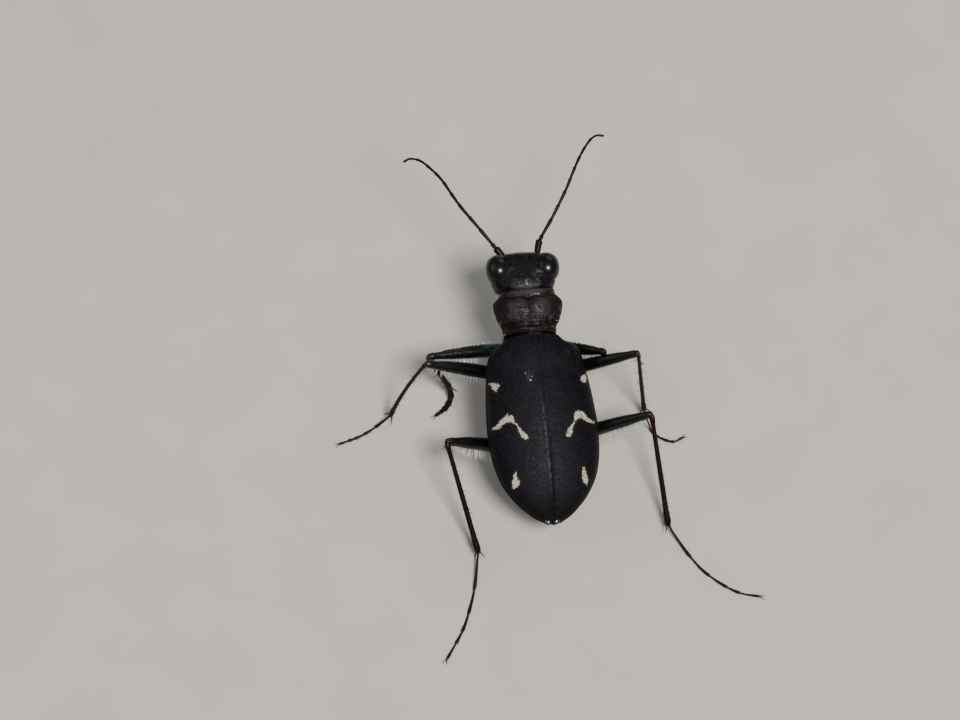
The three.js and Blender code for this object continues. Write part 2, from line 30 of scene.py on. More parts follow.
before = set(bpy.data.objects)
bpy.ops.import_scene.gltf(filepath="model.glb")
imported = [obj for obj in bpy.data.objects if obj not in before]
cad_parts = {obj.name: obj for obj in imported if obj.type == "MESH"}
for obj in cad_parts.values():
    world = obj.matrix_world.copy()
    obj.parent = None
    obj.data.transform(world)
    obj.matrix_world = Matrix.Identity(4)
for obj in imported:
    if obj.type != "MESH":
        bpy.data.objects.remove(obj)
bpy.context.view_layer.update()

MM = 0.001
SIDES = {"left": 1, "right": -1}

# Stance of the body
BODY_PITCH, BODY_BASE = 16, (-0.08, -2.07, 5.6)
FORE_YAW, FORE_SHIFT = -3.5, (-0.05, 0, 0)
HEAD_YAW, NECK_PLACE = -0.5, (0.13, -2.12, 0)
HIND_LEAN, HIND_YAW, HIND_SHIFT = -7, -1, (-0.25, 0, 0)

# Camera, from behind and above as the beetle was seen, in degrees and millimetres
AZIMUTH, ELEVATION, DISTANCE = 172, 64, 400
TARGET = (1.978, -3.787, 0)
LENS = 324.7


# ---- Curves and surfaces ----

def cubic(place, value):
    """A smooth function through values at a few places: a cubic between each two, whose slope at
    a place comes from its two neighbours, and level outside them."""
    place, value = np.array(place, float), np.array(value, float).reshape(len(place), -1)
    last = len(place) - 1
    before, after = np.clip([np.arange(-1, last), np.arange(1, last + 2)], 0, last)
    slope = (value[after] - value[before]) / (place[after] - place[before])[:, None]

    def through(where):
        i = np.clip(np.searchsorted(place, where, side="right") - 1, 0, last - 1)
        span = (place[i + 1] - place[i])[..., None]
        u = np.clip((where - place[i])[..., None] / span, 0, 1)
        rise = u * u * (3 - 2 * u)
        swing = u * (1 - u) * span * ((1 - u) * slope[i] - u * slope[i + 1])
        found = value[i] + (value[i + 1] - value[i]) * rise + swing
        return found if found.shape[-1] > 1 else found[..., 0]

    return through


def profile(*pairs):
    """A smooth function through (place, value) pairs."""
    return cubic(*zip(*pairs))


def curve(points, shares):
    """Places on a smooth curve through a few points, at shares of its length."""
    points = np.asarray(points, float)
    knots = np.append(0, np.cumsum(np.linalg.norm(np.diff(points, axis=0), axis=1) ** 0.5))
    line = cubic(knots, points)
    fine = np.linspace(0, knots[-1], 2000)
    run = np.append(0, np.cumsum(np.linalg.norm(np.diff(line(fine), axis=0), axis=1)))
    return line(np.interp(shares * run[-1], run, fine))


def unit(vectors):
    """Vectors brought to length one."""
    vectors = np.asarray(vectors, float)
    return vectors / np.maximum(np.linalg.norm(vectors, axis=-1, keepdims=True), 1e-9)


def hump(value, middle, width):
    """A bell that is 1 at the middle and falls away over the width."""
    return np.exp(-((value - middle) / width) ** 2)


def humps(x, y, *rows):
    """A sum of swellings, each a height and a middle and width across and back."""
    return sum(height * hump(x, *across) * hump(y, *back) for height, across, back in rows)


def ramp(value, start, length):
    """Rises from 0 to 1 as a value runs from the start over the length, up or down."""
    return np.clip((value - start) / length, 0, 1)


def noise(points, size, seed):
    """Smooth random relief from -1 to 1: random values at the corners of cubic cells of one size,
    blended inside each cell by cubic steps."""
    table = np.random.default_rng(seed).uniform(-1, 1, 8192)
    cell = np.floor(points / size).astype(np.int64)
    part = points / size - cell
    part = part * part * (3 - 2 * part)
    total = np.zeros(points.shape[:-1])
    for corner in map(np.array, np.ndindex(2, 2, 2)):
        key = (cell + corner) @ np.array([73856093, 19349663, 83492791])
        total += table[key % 8192] * np.where(corner, part, 1 - part).prod(axis=-1)
    return total


def turned(points, degrees, first=0, second=1):
    """Points turned in the plane of two axes, from the first towards the second."""
    points, a = np.array(points, float), math.radians(degrees)
    one, two = points[..., first].copy(), points[..., second].copy()
    points[..., first] = one * math.cos(a) - two * math.sin(a)
    points[..., second] = one * math.sin(a) + two * math.cos(a)
    return points


def on_body(points):
    """Plate places in the floor frame: nose up by the pitch, then moved."""
    return turned(points, BODY_PITCH, 2, 1) + BODY_BASE


def on_hind(points):
    """Plate places of the hind body, which leans to its right, in the floor frame."""
    return on_body(turned(turned(points, HIND_YAW), HIND_LEAN, 2, 0) + HIND_SHIFT)


def on_fore(points):
    """Plate places of the fore body, turned a little aside, in the floor frame."""
    return on_body(turned(points, FORE_YAW) + FORE_SHIFT)


def on_head(points):
    """Head places, turned once more at the neck, in the floor frame."""
    return on_fore(turned(points, HEAD_YAW) + NECK_PLACE)


def plate_rings(y, half_width, top, waist, bottom, sides, square=0.85):
    """Rings at places along a body plate: ellipses with fuller corners, widest at their waist."""
    half_width, top, waist, bottom = (np.broadcast_to(part, y.shape)[:, None]
                                      for part in (half_width, top, waist, bottom))
    turn = np.linspace(0, 2 * np.pi, sides, endpoint=False)[None]
    side, up = (np.sign(part) * np.abs(part) ** square for part in (np.cos(turn), np.sin(turn)))
    reach = np.where(np.sin(turn) > 0, top - waist, waist - bottom)
    return np.stack(np.broadcast_arrays(half_width * side, y[:, None], waist + reach * up), -1)


def normals(grid, closed=True):
    """Unit normals of a grid of rings or a sheet: the cross product of its two directions, turned
    away from its middle."""
    beside = (np.roll(grid, -1, axis=1) - np.roll(grid, 1, axis=1) if closed
              else np.gradient(grid, axis=1))
    across = np.cross(np.gradient(grid, axis=0), beside)
    outward = (across * (grid - grid.mean(axis=(0, 1)))).sum()
    return unit(across) * (1 if outward >= 0 else -1)


def raised(grid, height, closed=True):
    """A grid moved out along its normals by a height."""
    return grid + normals(grid, closed) * height[..., None]


def shell(grid):
    """Points and faces of a closed shell over a grid of rings: four-sided faces between rings and
    one face over each end ring, turned outwards by the sign of the volume."""
    rows, columns = grid.shape[:2]
    corner = np.arange(rows * columns).reshape(rows, columns)
    right = np.roll(corner, -1, axis=1)
    quads = np.stack([corner[:-1], right[:-1], right[1:], corner[1:]], -1).reshape(-1, 4)
    ends = [corner[0][::-1], corner[-1]]
    points = grid.reshape(-1, 3)
    fans = [np.stack([np.full(columns - 2, end[0]), end[1:-1], end[2:]], -1) for end in ends]
    triangles = np.concatenate([quads[:, [0, 1, 2]], quads[:, [0, 2, 3]], *fans])
    a, b, c = (points[triangles[:, k]] - points.mean(axis=0) for k in range(3))
    if (a * np.cross(b, c)).sum() < 0:
        quads, ends = quads[:, ::-1], [end[::-1] for end in ends]
    return points, [*quads.tolist(), *[end.tolist() for end in ends]]


def slab(x, y, z, thick):
    """Rings round a plate: over its front and back under its rear, `thick` either side of y."""
    front, rear = (np.stack(np.broadcast_arrays(x, y + turn * thick, z), -1) for turn in (-1, 1))
    return np.concatenate([front, rear[:, ::-1]], axis=1)


def ball(rows, columns, square=1):
    """Coordinates along, beside and above the axis of a ball, in rings about that axis."""
    turn = np.linspace(-np.pi / 2, np.pi / 2, rows)[1:-1, None]
    around = np.linspace(0, 2 * np.pi, columns, endpoint=False)[None]
    wide = np.cos(turn) ** square
    return np.broadcast_arrays(np.sin(turn), wide * np.cos(around), wide * np.sin(around))


def bead(middle, reach):
    """A small egg of half sizes `reach`, in rings about its second way."""
    along, beside, above = ball(16, 24)
    return middle + np.stack([beside, along, above], -1) * reach


def tube(path, wide, high=None, up=(0, 0, 1), sides=20):
    """A limb along a path: ellipses set square to it, with half sizes wide across the up direction
    and high along it, and four smaller rings that round off each end."""
    count = len(path)
    close = np.radians([-78, -58, -38, -18, *np.zeros(count), 18, 38, 58, 78])
    rows = np.clip(np.arange(-4, count + 4), 0, count - 1)
    along = unit(np.gradient(path, axis=0))[rows]
    path = path[rows] + (0.7 * wide[rows] * np.sin(close))[:, None] * along
    high = (wide if high is None else high)[rows] * np.cos(close)
    wide = wide[rows] * np.cos(close)
    across = unit(np.cross(along, up))
    lift = np.cross(across, along)
    turn = np.linspace(0, 2 * np.pi, sides, endpoint=False)
    return (path[:, None] + (wide[:, None] * np.cos(turn))[..., None] * across[:, None]
            + (high[:, None] * np.sin(turn))[..., None] * lift[:, None])


def rod(start, end, widths, stations, bend=(0, 0, 0), flat=1, **settings):
    """A straight limb whose half width follows (share, width) pairs; bend pushes its middle aside,
    and flat is its height over its width."""
    share = np.linspace(0, 1, stations)[:, None]
    path = start + share * (np.asarray(end) - start) + 4 * share * (1 - share) * bend
    wide = profile(*widths)(share[:, 0])
    return tube(path, wide, wide * flat, **settings)


def chain(points, joints, radii, neck, stations=14, flat=1, **settings):
    """Slender limbs in a row along a curve, which meet at the shares `joints` of it. Each swells
    from its neck to its full radius near its far end, and rounds off there."""
    share, limbs = np.linspace(0, 1, stations), []
    necks = np.broadcast_to(neck, len(radii))
    for near, far, radius, thin in zip(joints, joints[1:], radii, necks):
        wide = radius * (thin + (1 - thin) * share ** 1.3) * (1 - 0.45 * ramp(share, 0.9, 0.1))
        path = curve(points, near + (far - near) * (0.02 + 0.96 * share))
        limbs.append(tube(path, wide, wide * flat, **settings))
    return limbs


# ---- Pieces ----

def add(name, points, faces, finish, slot):
    """Makes a smooth object of points in millimetres, riding on the frame. It stands for the solid
    it is named after, unless it is an extra that names its slot."""
    mesh = bpy.data.meshes.new(name)
    mesh.from_pydata((points * MM).tolist(), [], faces)
    mesh.polygons.foreach_set("use_smooth", np.ones(len(mesh.polygons), bool))
    mesh.materials.append(finish.material)
    made = bpy.data.objects.new(name, mesh)
    bpy.context.scene.collection.objects.link(made)
    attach(made, "root")
    if slot is None:
        slot, solid = finish.name, name.rsplit("_", 1)[0]
        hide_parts(solid)
    return mesh


def piece(name, grids, finish, slot=None, **values):
    """Adds a piece of shells over grids of rings. Each value is a list, with a number or an array
    for each grid to keep at its points."""
    points, faces, base = [], [], 0
    for places, sides in map(shell, grids):
        points.append(places)
        faces += [[corner + base for corner in side] for side in sides]
        base += len(places)
    mesh = add(name, np.concatenate(points), faces, finish, slot)
    for key, numbers in values.items():
        flat = [np.broadcast_to(part, grid.shape[:2]).ravel() for part, grid in zip(numbers, grids)]
        kept = mesh.attributes.new(key, "FLOAT", "POINT")
        kept.data.foreach_set("value", np.concatenate(flat).astype(np.float32))


def hair_piece(name, batches, finish, slot):
    """Adds a piece of the hairs that are clear of the floor. Each is a three-sided cone that runs
    from its root along its way in three steps and sags by its bend; batches hold roots, ways,
    bends, lengths, thicknesses and places on the map, where a hair's patch is 0.003 across."""
    parts = [np.concatenate(part) for part in zip(*batches)]
    parts[1] = unit(parts[1])
    tips = parts[0] + parts[3][:, None] * (parts[1] + parts[2])
    clear = (tips[:, 2] > 0.02) & (parts[0][:, 2] > 0.02)
    tips, roots, ways, bends, lengths, thick, chart = (part[clear] for part in [tips, *parts])
    side = unit(np.cross(ways, (0.31, 0.17, 0.93)))[:, None]
    turn = np.radians([0, 120, 240])
    ring = np.stack([np.cos(turn), np.sin(turn)], -1)
    around = ring[:, :1] * side + ring[:, 1:] * np.cross(ways[:, None], side)
    step = np.array([0, 0.4, 0.75])
    run = (lengths[:, None] * step)[..., None]
    spine = roots[:, None] + run * ways[:, None] + run * step[:, None] * bends[:, None]
    taper = thick[:, None] * np.array([0.5, 0.42, 0.24])
    body = spine[:, :, None] + taper[..., None, None] * around[:, None]
    points = np.concatenate([body.reshape(-1, 9, 3), tips[:, None]], axis=1)
    faces = []
    walls = [(0, 1, 4, 3), (1, 2, 5, 4), (2, 0, 3, 5), (3, 4, 7, 6), (4, 5, 8, 7), (5, 3, 6, 8)]
    for sides in walls, [(6, 7, 9), (7, 8, 9), (8, 6, 9)], [(2, 1, 0)]:
        every = np.array(sides) + 10 * np.arange(len(roots))[:, None, None]
        faces += every.reshape(-1, len(sides[0])).tolist()
    mesh = add(name, points.reshape(-1, 3), faces, finish, slot)
    at_point = chart[:, None] + 0.0015 * np.concatenate([np.tile(ring, (3, 1)), [[0, 0]]])
    corner = np.zeros(len(mesh.loops), np.int32)
    mesh.loops.foreach_get("vertex_index", corner)
    places = at_point.reshape(-1, 2)[corner].ravel().astype(np.float32)
    mesh.uv_layers.new(name="OFBake").data.foreach_set("uv", places)


# ---- Finishes ----

class Paint:
    """A material whose methods each add a node and give its output. Sizes are in millimetres."""

    def __init__(self, name, level, tint=(1, 1, 1), coat=0, coat_rough=0.03, **others):
        self.name, self.material = name, bpy.data.materials.new(name)
        self.material.use_nodes = True
        self.tree = self.material.node_tree
        self.shader = self.tree.nodes["Principled BSDF"]
        constants = {"Specular IOR Level": level, "Specular Tint": (*tint, 1), "Coat Weight": coat,
                     "Coat Roughness": coat_rough, **others}
        for key, value in constants.items():
            self.shader.inputs[key].default_value = value

    def put(self, kind, inputs, output=0, **settings):
        """Any node, with its inputs set or joined."""
        made = self.tree.nodes.new("ShaderNode" + kind)
        for key, value in settings.items():
            setattr(made, key, value)
        for key, value in inputs.items():
            if isinstance(value, bpy.types.NodeSocket):
                self.tree.links.new(value, made.inputs[key])
            else:
                made.inputs[key].default_value = value
        return made.outputs[output]

    def place(self, size, stretch, seed=0):
        """Inputs of a texture whose cells are about `size` across."""
        moved = self.put("Mapping", {"Vector": self.put("TexCoord", {}, 3), "Scale": stretch,
                                     "Location": (seed, seed, 0)})
        return {"Vector": moved, "Scale": 1 / (size * MM)}

    def grain(self, size, detail=2, stretch=(1, 1, 1), seed=0):
        """Noise from 0 to 1."""
        return self.put("TexNoise", {**self.place(size, stretch, seed), "Detail": detail})

    def pits(self, size, stretch=(1, 1, 1), feature="F1"):
        """Distance to the nearest of many scattered points."""
        return self.put("TexVoronoi", self.place(size, stretch), feature=feature)

    def between(self, value, low, high, start=0, end=1):
        """A smooth run from start to end as a value passes from low to high."""
        ends = {"From Min": low, "From Max": high, "To Min": start, "To Max": end}
        return self.put("MapRange", {"Value": value, **ends}, interpolation_type="SMOOTHSTEP")

    def sums(self, how, a, b):
        """Arithmetic on two numbers."""
        return self.put("Math", {0: a, 1: b}, operation=how)

    def blend(self, share, first, second):
        """A colour between two, each an output or three numbers."""
        first, second = ((*c, 1) if isinstance(c, tuple) else c for c in (first, second))
        return self.put("Mix", {0: share, 6: first, 7: second}, 2, data_type="RGBA")

    def fade(self, value, low, high, first, second, most=1):
        """A colour that runs from the first to the second as a value passes from low to high."""
        return self.blend(self.between(value, low, high, 0, most), first, second)

    def kept(self, name):
        """A value kept at the piece's points."""
        return self.put("Attribute", {}, 2, attribute_name=name)

    def relief(self, height, depth, strength, **under):
        """A bump of a depth, over another one that Normal gives."""
        return self.put("Bump", {"Height": height, "Distance": depth * MM, "Strength": strength,
                                 **under})

    def done(self, color, **sockets):
        """Joins outputs to the shader and ends the material."""
        for key, output in {"Base Color": color, **sockets}.items():
            self.tree.links.new(output, self.shader.inputs[key])
        return self


def wrinkled_finish(name, level, tint, gloss, groove, face, crest, ruga, veins):
    """Horny plate with fine cross wrinkles and a broken net of veins, dull in its grooves. Its
    colour follows the kept relief: painted shade darkens the grooves, and a painted highlight
    lightens the crests and the veins on them."""
    p = Paint(name, level, tint, gloss, 0.13)
    height, speck = p.kept("relief"), p.grain(0.05, 3)
    color = p.fade(height, 0, 0.03, p.fade(height, -0.045, 0, groove, face), crest, 0.8)
    top = tuple(more * c for more, c in zip((1.6, 1.95, 1.8), crest))
    color = p.fade(height, 0.035, 0.07, color, top)
    color = p.fade(speck, 0.4, 0.8, color, groove, 0.5)
    net = p.between(p.pits(1.7 * ruga, (0.8, 1.2, 1), "DISTANCE_TO_EDGE"), 0, 0.09, 1, 0)
    net = p.sums("MULTIPLY", net, p.between(p.grain(0.25), 0.38, 0.62, 0, veins))
    color = p.blend(p.sums("MULTIPLY", net, p.between(height, -0.03, 0.01, 0, 0.8)), color,
                    tuple(1.4 * c for c in crest))
    lines = p.relief(p.grain(ruga, 3, (0.4, 1, 1)), 0.02, 0.6, Normal=p.relief(net, 0.016, 0.8))
    dull = p.sums("ADD", p.between(height, -0.05, -0.02, 0.35, 0),
                  p.between(height, 0, 0.03, 0, -0.18))
    return p.done(color, Roughness=p.sums("ADD", dull, p.between(speck, 0.3, 0.7, 0.29, 0.43)),
                  Normal=p.relief(p.between(p.pits(0.045), 0.1, 0.6), 0.006, 0.5, Normal=lines))


def horn_finish(name, level, tint, rough, dark, light, gloss=0):
    """Smooth horny skin with a little mottling and fine hammered relief."""
    p = Paint(name, level, tint, gloss, 0.16)
    speck = p.grain(0.05, 3, seed=0.02)
    return p.done(p.fade(p.grain(0.12, 3), 0.35, 0.7, dark, light),
                  Roughness=p.between(speck, 0.3, 0.7, rough - 0.06, rough + 0.08),
                  Normal=p.relief(p.between(p.pits(0.06), 0.1, 0.6), 0.006, 0.5))


def hair_finish(name, color):
    """Fine bristle, a little darker in places."""
    p = Paint(name, 0.4, Roughness=0.5)
    return p.done(p.fade(p.grain(0.3), 0.3, 0.7, tuple(0.72 * c for c in color), color))


# Matt black wing cover with fine grains and pits, brown towards its rim, and cream marks, with
# painted sheen where the kept crest is high and painted shade where it is below 0
p = COVER = Paint("cover_black", 0.125, (0.9, 0.86, 1))
speck, crest = p.grain(0.12, 4), p.kept("crest")
dark = p.fade(speck, 0.43, 0.64, (0.0013, 0.0012, 0.0018), (0.0078, 0.0073, 0.0108))
dark = p.fade(p.grain(0.6, 3, seed=0.01), 0.35, 0.7, dark, (0.0046, 0.0041, 0.0054), 0.45)
# Painted highlight: where the kept crest is high it lightens the cover as a painted sheen
painted_sheen = p.sums("MULTIPLY", crest, p.between(speck, 0.38, 0.66, 0.15, 1))
dark = p.blend(painted_sheen, dark, (0.046, 0.044, 0.053))
dark = p.fade(p.kept("rim"), 0.25, 1, dark, (0.0038, 0.0022, 0.002), 0.8)
# Painted shade: where the kept crest is below 0 it darkens the cover nearly to black
dark = p.blend(p.between(crest, -0.8, -0.1, 0.85, 0), dark, (0.0005, 0.0004, 0.0006))
inside = p.sums("ADD", p.kept("cream"), p.between(p.grain(0.06, 3), 0.25, 0.75, -0.055, 0.045))
dark = p.fade(inside, -0.16, -0.01, dark, (0.017, 0.0095, 0.006), 0.65)
cream = p.fade(speck, 0.35, 0.62, (0.27, 0.25, 0.195), (0.52, 0.495, 0.4))
fine = p.relief(p.between(p.pits(0.085), 0.1, 0.55), 0.013, 0.8)
p.done(p.fade(inside, -0.002, 0.024, dark, cream),
       Roughness=p.between(speck, 0.3, 0.7, 0.46, 0.62),
       Normal=p.relief(p.grain(0.22, 3), 0.02, 0.5, Normal=fine))

# Dark glossy eye with a close net of round facets
p = EYE = Paint("eye_brown", 0.15, (1, 0.84, 1), 0.5, 0.13, Roughness=0.36)
p.done(p.fade(p.grain(0.4), 0.35, 0.7, (0.0013, 0.001, 0.0013), (0.0034, 0.0025, 0.0034)),
       Normal=p.relief(p.between(p.pits(0.03), 0, 0.5, 1, 0), 0.004, 0.35))

# Ivory horn that darkens to black brown where the kept value `tip` rises
p = IVORY = Paint("ivory", 0.5, **{"Subsurface Weight": 0.08, "Subsurface Scale": 0.0002})
tip = p.sums("ADD", p.kept("tip"), p.between(p.grain(0.15), 0.3, 0.7, -0.08, 0.08))
color = p.fade(p.grain(0.2, 3), 0.3, 0.7, (0.62, 0.52, 0.33), (0.76, 0.69, 0.5))
color = p.fade(tip, 0.35, 0.5, color, (0.09, 0.03, 0.012))
p.done(p.fade(tip, 0.45, 0.62, color, (0.008, 0.006, 0.007)),
       Roughness=p.between(p.grain(0.08), 0.3, 0.7, 0.25, 0.42),
       Normal=p.relief(p.grain(0.1), 0.006, 0.5))

# Red-brown shin that is blacker where the kept value `dark` is high
p = SHIN = Paint("shin_brown", 0.13, (1, 0.86, 0.8), 0.1, 0.12)
color = p.fade(p.grain(0.15, 3), 0.3, 0.7, (0.0052, 0.0017, 0.0014), (0.02, 0.0046, 0.003))
p.done(p.blend(p.kept("dark"), color, (0.0028, 0.0022, 0.0024)),
       Roughness=p.between(p.grain(0.06), 0.3, 0.7, 0.26, 0.42),
       Normal=p.relief(p.grain(0.06, 2, (1, 1, 0.3)), 0.008, 0.5))

# Black thigh, metallic green where the kept value `sheen` is high and brown at the knee
p = THIGH = Paint("femur_green", 0.24, (0.97, 0.95, 1), 0.15, 0.14)
knee = p.kept("knee")
sheen = p.sums("MULTIPLY", p.kept("sheen"), p.between(p.grain(0.12, 3), 0.38, 0.6))
color = p.fade(p.grain(0.3, 3), 0.35, 0.65, (0.0016, 0.0013, 0.0017), (0.0024, 0.0023, 0.0025))
color = p.blend(knee, p.blend(sheen, color, (0.08, 0.5, 0.33)), (0.02, 0.007, 0.0042))
smooth = p.sums("MULTIPLY", p.sums("ADD", knee, sheen), 0.15)
p.done(color, Metallic=sheen,
       Roughness=p.sums("SUBTRACT", p.between(p.grain(0.07), 0.3, 0.7, 0.26, 0.42), smooth),
       Normal=p.relief(p.between(p.pits(0.09), 0.05, 0.5), 0.012, 0.55))

BEAD = horn_finish("bead_black", 1, (1, 1, 1), 0.2, (0.0015, 0.0012, 0.0015),
                   (0.003, 0.0025, 0.003), 1)
# Pale violet boss: its light colour is a painted highlight, standing for a glint on the head's
# ridge
GLINT_BOSS = horn_finish("boss_painted_glint", 1, (1, 1, 1), 0.16, (0.04, 0.034, 0.04),
                   (0.085, 0.075, 0.085), 1)
# Crest colours of these plates are painted highlight colours, and groove colours painted shade
PRONOTUM = wrinkled_finish("pronotum_maroon", 0.2, (1, 0.84, 0.86), 0.03, (0.003, 0.0012, 0.0013),
                           (0.0082, 0.0053, 0.0064), (0.036, 0.026, 0.0285), 0.1, 1)
HEAD = wrinkled_finish("head_black", 0.18, (0.95, 0.88, 1), 0.12, (0.0012, 0.001, 0.0015),
                       (0.0023, 0.0016, 0.0031), (0.04, 0.032, 0.037), 0.13, 0.1)
FEELER = horn_finish("feeler_black", 0.18, (1, 0.92, 1), 0.4, (0.0022, 0.0018, 0.0022),
                     (0.0045, 0.0036, 0.004))
BELLY = horn_finish("belly_green", 0.5, (0.6, 0.95, 1), 0.32, (0.002, 0.004, 0.004),
                    (0.004, 0.012, 0.011))
FOOT = horn_finish("foot_black", 0.22, (0.92, 0.92, 1), 0.4, (0.0028, 0.0026, 0.003),
                   (0.006, 0.0055, 0.0065))
WHITE_HAIR = hair_finish("white_hair", (0.9, 0.88, 0.83))
BROWN_HAIR = hair_finish("brown_hair", (0.05, 0.03, 0.02))


# ---- Wing covers ----

COVER_FRONT, COVER_LENGTH = -0.04, 8.72
COVER_WALL, COVER_SEAM = 0.13, 0.005
SHIELD_LENGTH, SHIELD_HALF_WIDTH = 0.55, 0.3
# Shining beads on each cover: middle and half sizes
BEADS = {"left": [((0.26, 8.54, -1.01), (0.17, 0.17, 0.11)),
                  ((0.49, 2.12, 0.03), (0.12, 0.12, 0.075)),
                  ((0.68, 1.79, 0.012), (0.08, 0.08, 0.05)),
                  ((0.375, 1.97, 0.035), (0.07, 0.07, 0.05))],
         "right": [((-0.12, 8.54, -1), (0.17, 0.17, 0.11))]}
# Rim of a cover as seen from above, from shoulder to tip
COVER_OUTLINE = [(1.12, 0.03), (1.69, 0.36), (2.1, 0.82), (2.3, 1.7), (2.48, 3.1), (2.54, 4.4),
                 (2.46, 5.6), (2.15, 6.7), (1.62, 7.55), (0.9, 8.25), (0.3, 8.62)]
cover_crest = profile((0, -0.15), (0.6, 0), (2, 0.06), (4, 0.08), (5.5, 0), (6.8, -0.22),
                      (7.8, -0.55), (8.4, -0.85), (COVER_LENGTH, -1.02))
cover_rim = profile((0, -0.5), (0.1, -0.95), (0.2, -1.2), (0.9, -1.15), (1, -1.2))
# Shoulder knob, the hollow inside it, a shallow dip behind it, and eleven dimples along the seam
COVER_SWELLS = [(0.07, (1.62, 0.28), (0.72, 0.35)), (-0.06, (1.12, 0.3), (0.62, 0.4)),
                (-0.03, (0.9, 0.9), (1.7, 0.5)),
                *[(-0.014, (0.42 + 0.02 * np.sin(7 * place), 0.05), (place, 0.06))
                  for place in 0.8 + 0.42 * np.arange(11)]]
# How strongly a painted highlight lightens the seam line and the band beside it
SEAM_SHEEN = {"left": (1.4, 0.36), "right": (0.3, 0.12)}
# Cream marks as lines of round dabs: place across, place back, radius
COVER_MARKS = {
    "left": [
        [(2.02, 2.2, 0.14), (2.12, 2.12, 0.09), (2.25, 2, 0.035)],
        [(2.06, 2.26, 0.14), (2.07, 2.42, 0.05)],
        [(2.33, 4.12, 0.07), (2.13, 4.09, 0.1), (1.96, 3.89, 0.11), (1.77, 3.81, 0.17),
         (1.6, 3.81, 0.16), (1.46, 4, 0.045), (1.34, 4.16, 0.035), (1.26, 4.37, 0.055),
         (1.12, 4.62, 0.12), (1.02, 4.75, 0.12)],
        [(1.72, 3.69, 0.08), (1.71, 3.54, 0.02)],
        [(1.6, 6.24, 0.02), (1.66, 6.45, 0.09), (1.64, 6.72, 0.19), (1.68, 6.84, 0.13)]],
    "right": [
        [(-2.2, 2.01, 0.05), (-2.1, 2.15, 0.13), (-2.05, 2.23, 0.17)],
        [(-2.31, 4.25, 0.05), (-2.15, 4.21, 0.08), (-2, 4.15, 0.09), (-1.85, 4.04, 0.14),
         (-1.68, 3.88, 0.18), (-1.52, 3.9, 0.18), (-1.36, 4.15, 0.05), (-1.22, 4.35, 0.04),
         (-1.06, 4.59, 0.12), (-0.98, 4.76, 0.14)],
        [(-1.53, 6.34, 0.06), (-1.55, 6.62, 0.12), (-1.57, 6.86, 0.14), (-1.62, 7.03, 0.06)]]}


def marked(place, strokes):
    """How deep inside a mark each place lies: along each stroke the radius of its dabs less the
    distance to its line, and the largest of these. Places are complex numbers."""
    depth = np.full(place.shape, -9.0)
    for stroke in strokes:
        for (ax, ay, near), (bx, by, far) in zip(stroke[:-1], stroke[1:]):
            start, way = complex(ax, ay), complex(bx - ax, by - ay)
            t = np.clip(((place - start) / way).real, 0, 1)
            depth = np.maximum(depth, near + (far - near) * t - abs(place - start - t * way))
    return depth


def cover_sheet(side, rows, columns, depth):
    """One layer of a wing cover, at a depth: on each row a quarter of a fuller ellipse from the
    seam out and down to the rim. It carries a seam ridge with a furrow beside it, a raised rim,
    round swells and dimples, and faint waves."""
    u = np.linspace(0, 1, rows)[:, None]
    turn = np.append([0, 0.0006], np.linspace(0.004, np.pi / 2, columns - 2))[None]
    margin, level = np.moveaxis(curve(COVER_OUTLINE, u), -1, 0)
    if side < 0:
        level = level + 0.16 * hump(margin, 1.55, 0.4) * (level < 1)
    back = COVER_FRONT + (COVER_LENGTH - COVER_FRONT) * u
    start = COVER_SEAM + 1.02 * SHIELD_HALF_WIDTH * ramp(back, SHIELD_LENGTH, -SHIELD_LENGTH)
    reach, fall = np.sin(turn) ** 0.85, np.abs(np.cos(turn)) ** 0.85
    x, y = start + (margin - start) * reach, back + (level - back) * reach
    grid = np.stack([x, y, cover_rim(u) + (cover_crest(back) - cover_rim(u)) * fall], -1)
    later = ramp(back, 1, 3)
    swell = ((0.004 + 0.02 * later) * hump(x - start, 0.03, 0.045)
             - 0.008 * later * hump(x - start, 0.15, 0.06) + humps(x, y, *COVER_SWELLS)
             + 0.035 * hump(turn, 1.5, 0.06) * (u > 0.06)
             + 0.007 * noise(grid + 20, 0.5, 3) + 0.0035 * noise(grid + 20, 0.17, 4))
    return raised(grid, swell * ramp(u, 0, 0.02) - depth, closed=False) * (side, 1, 1)


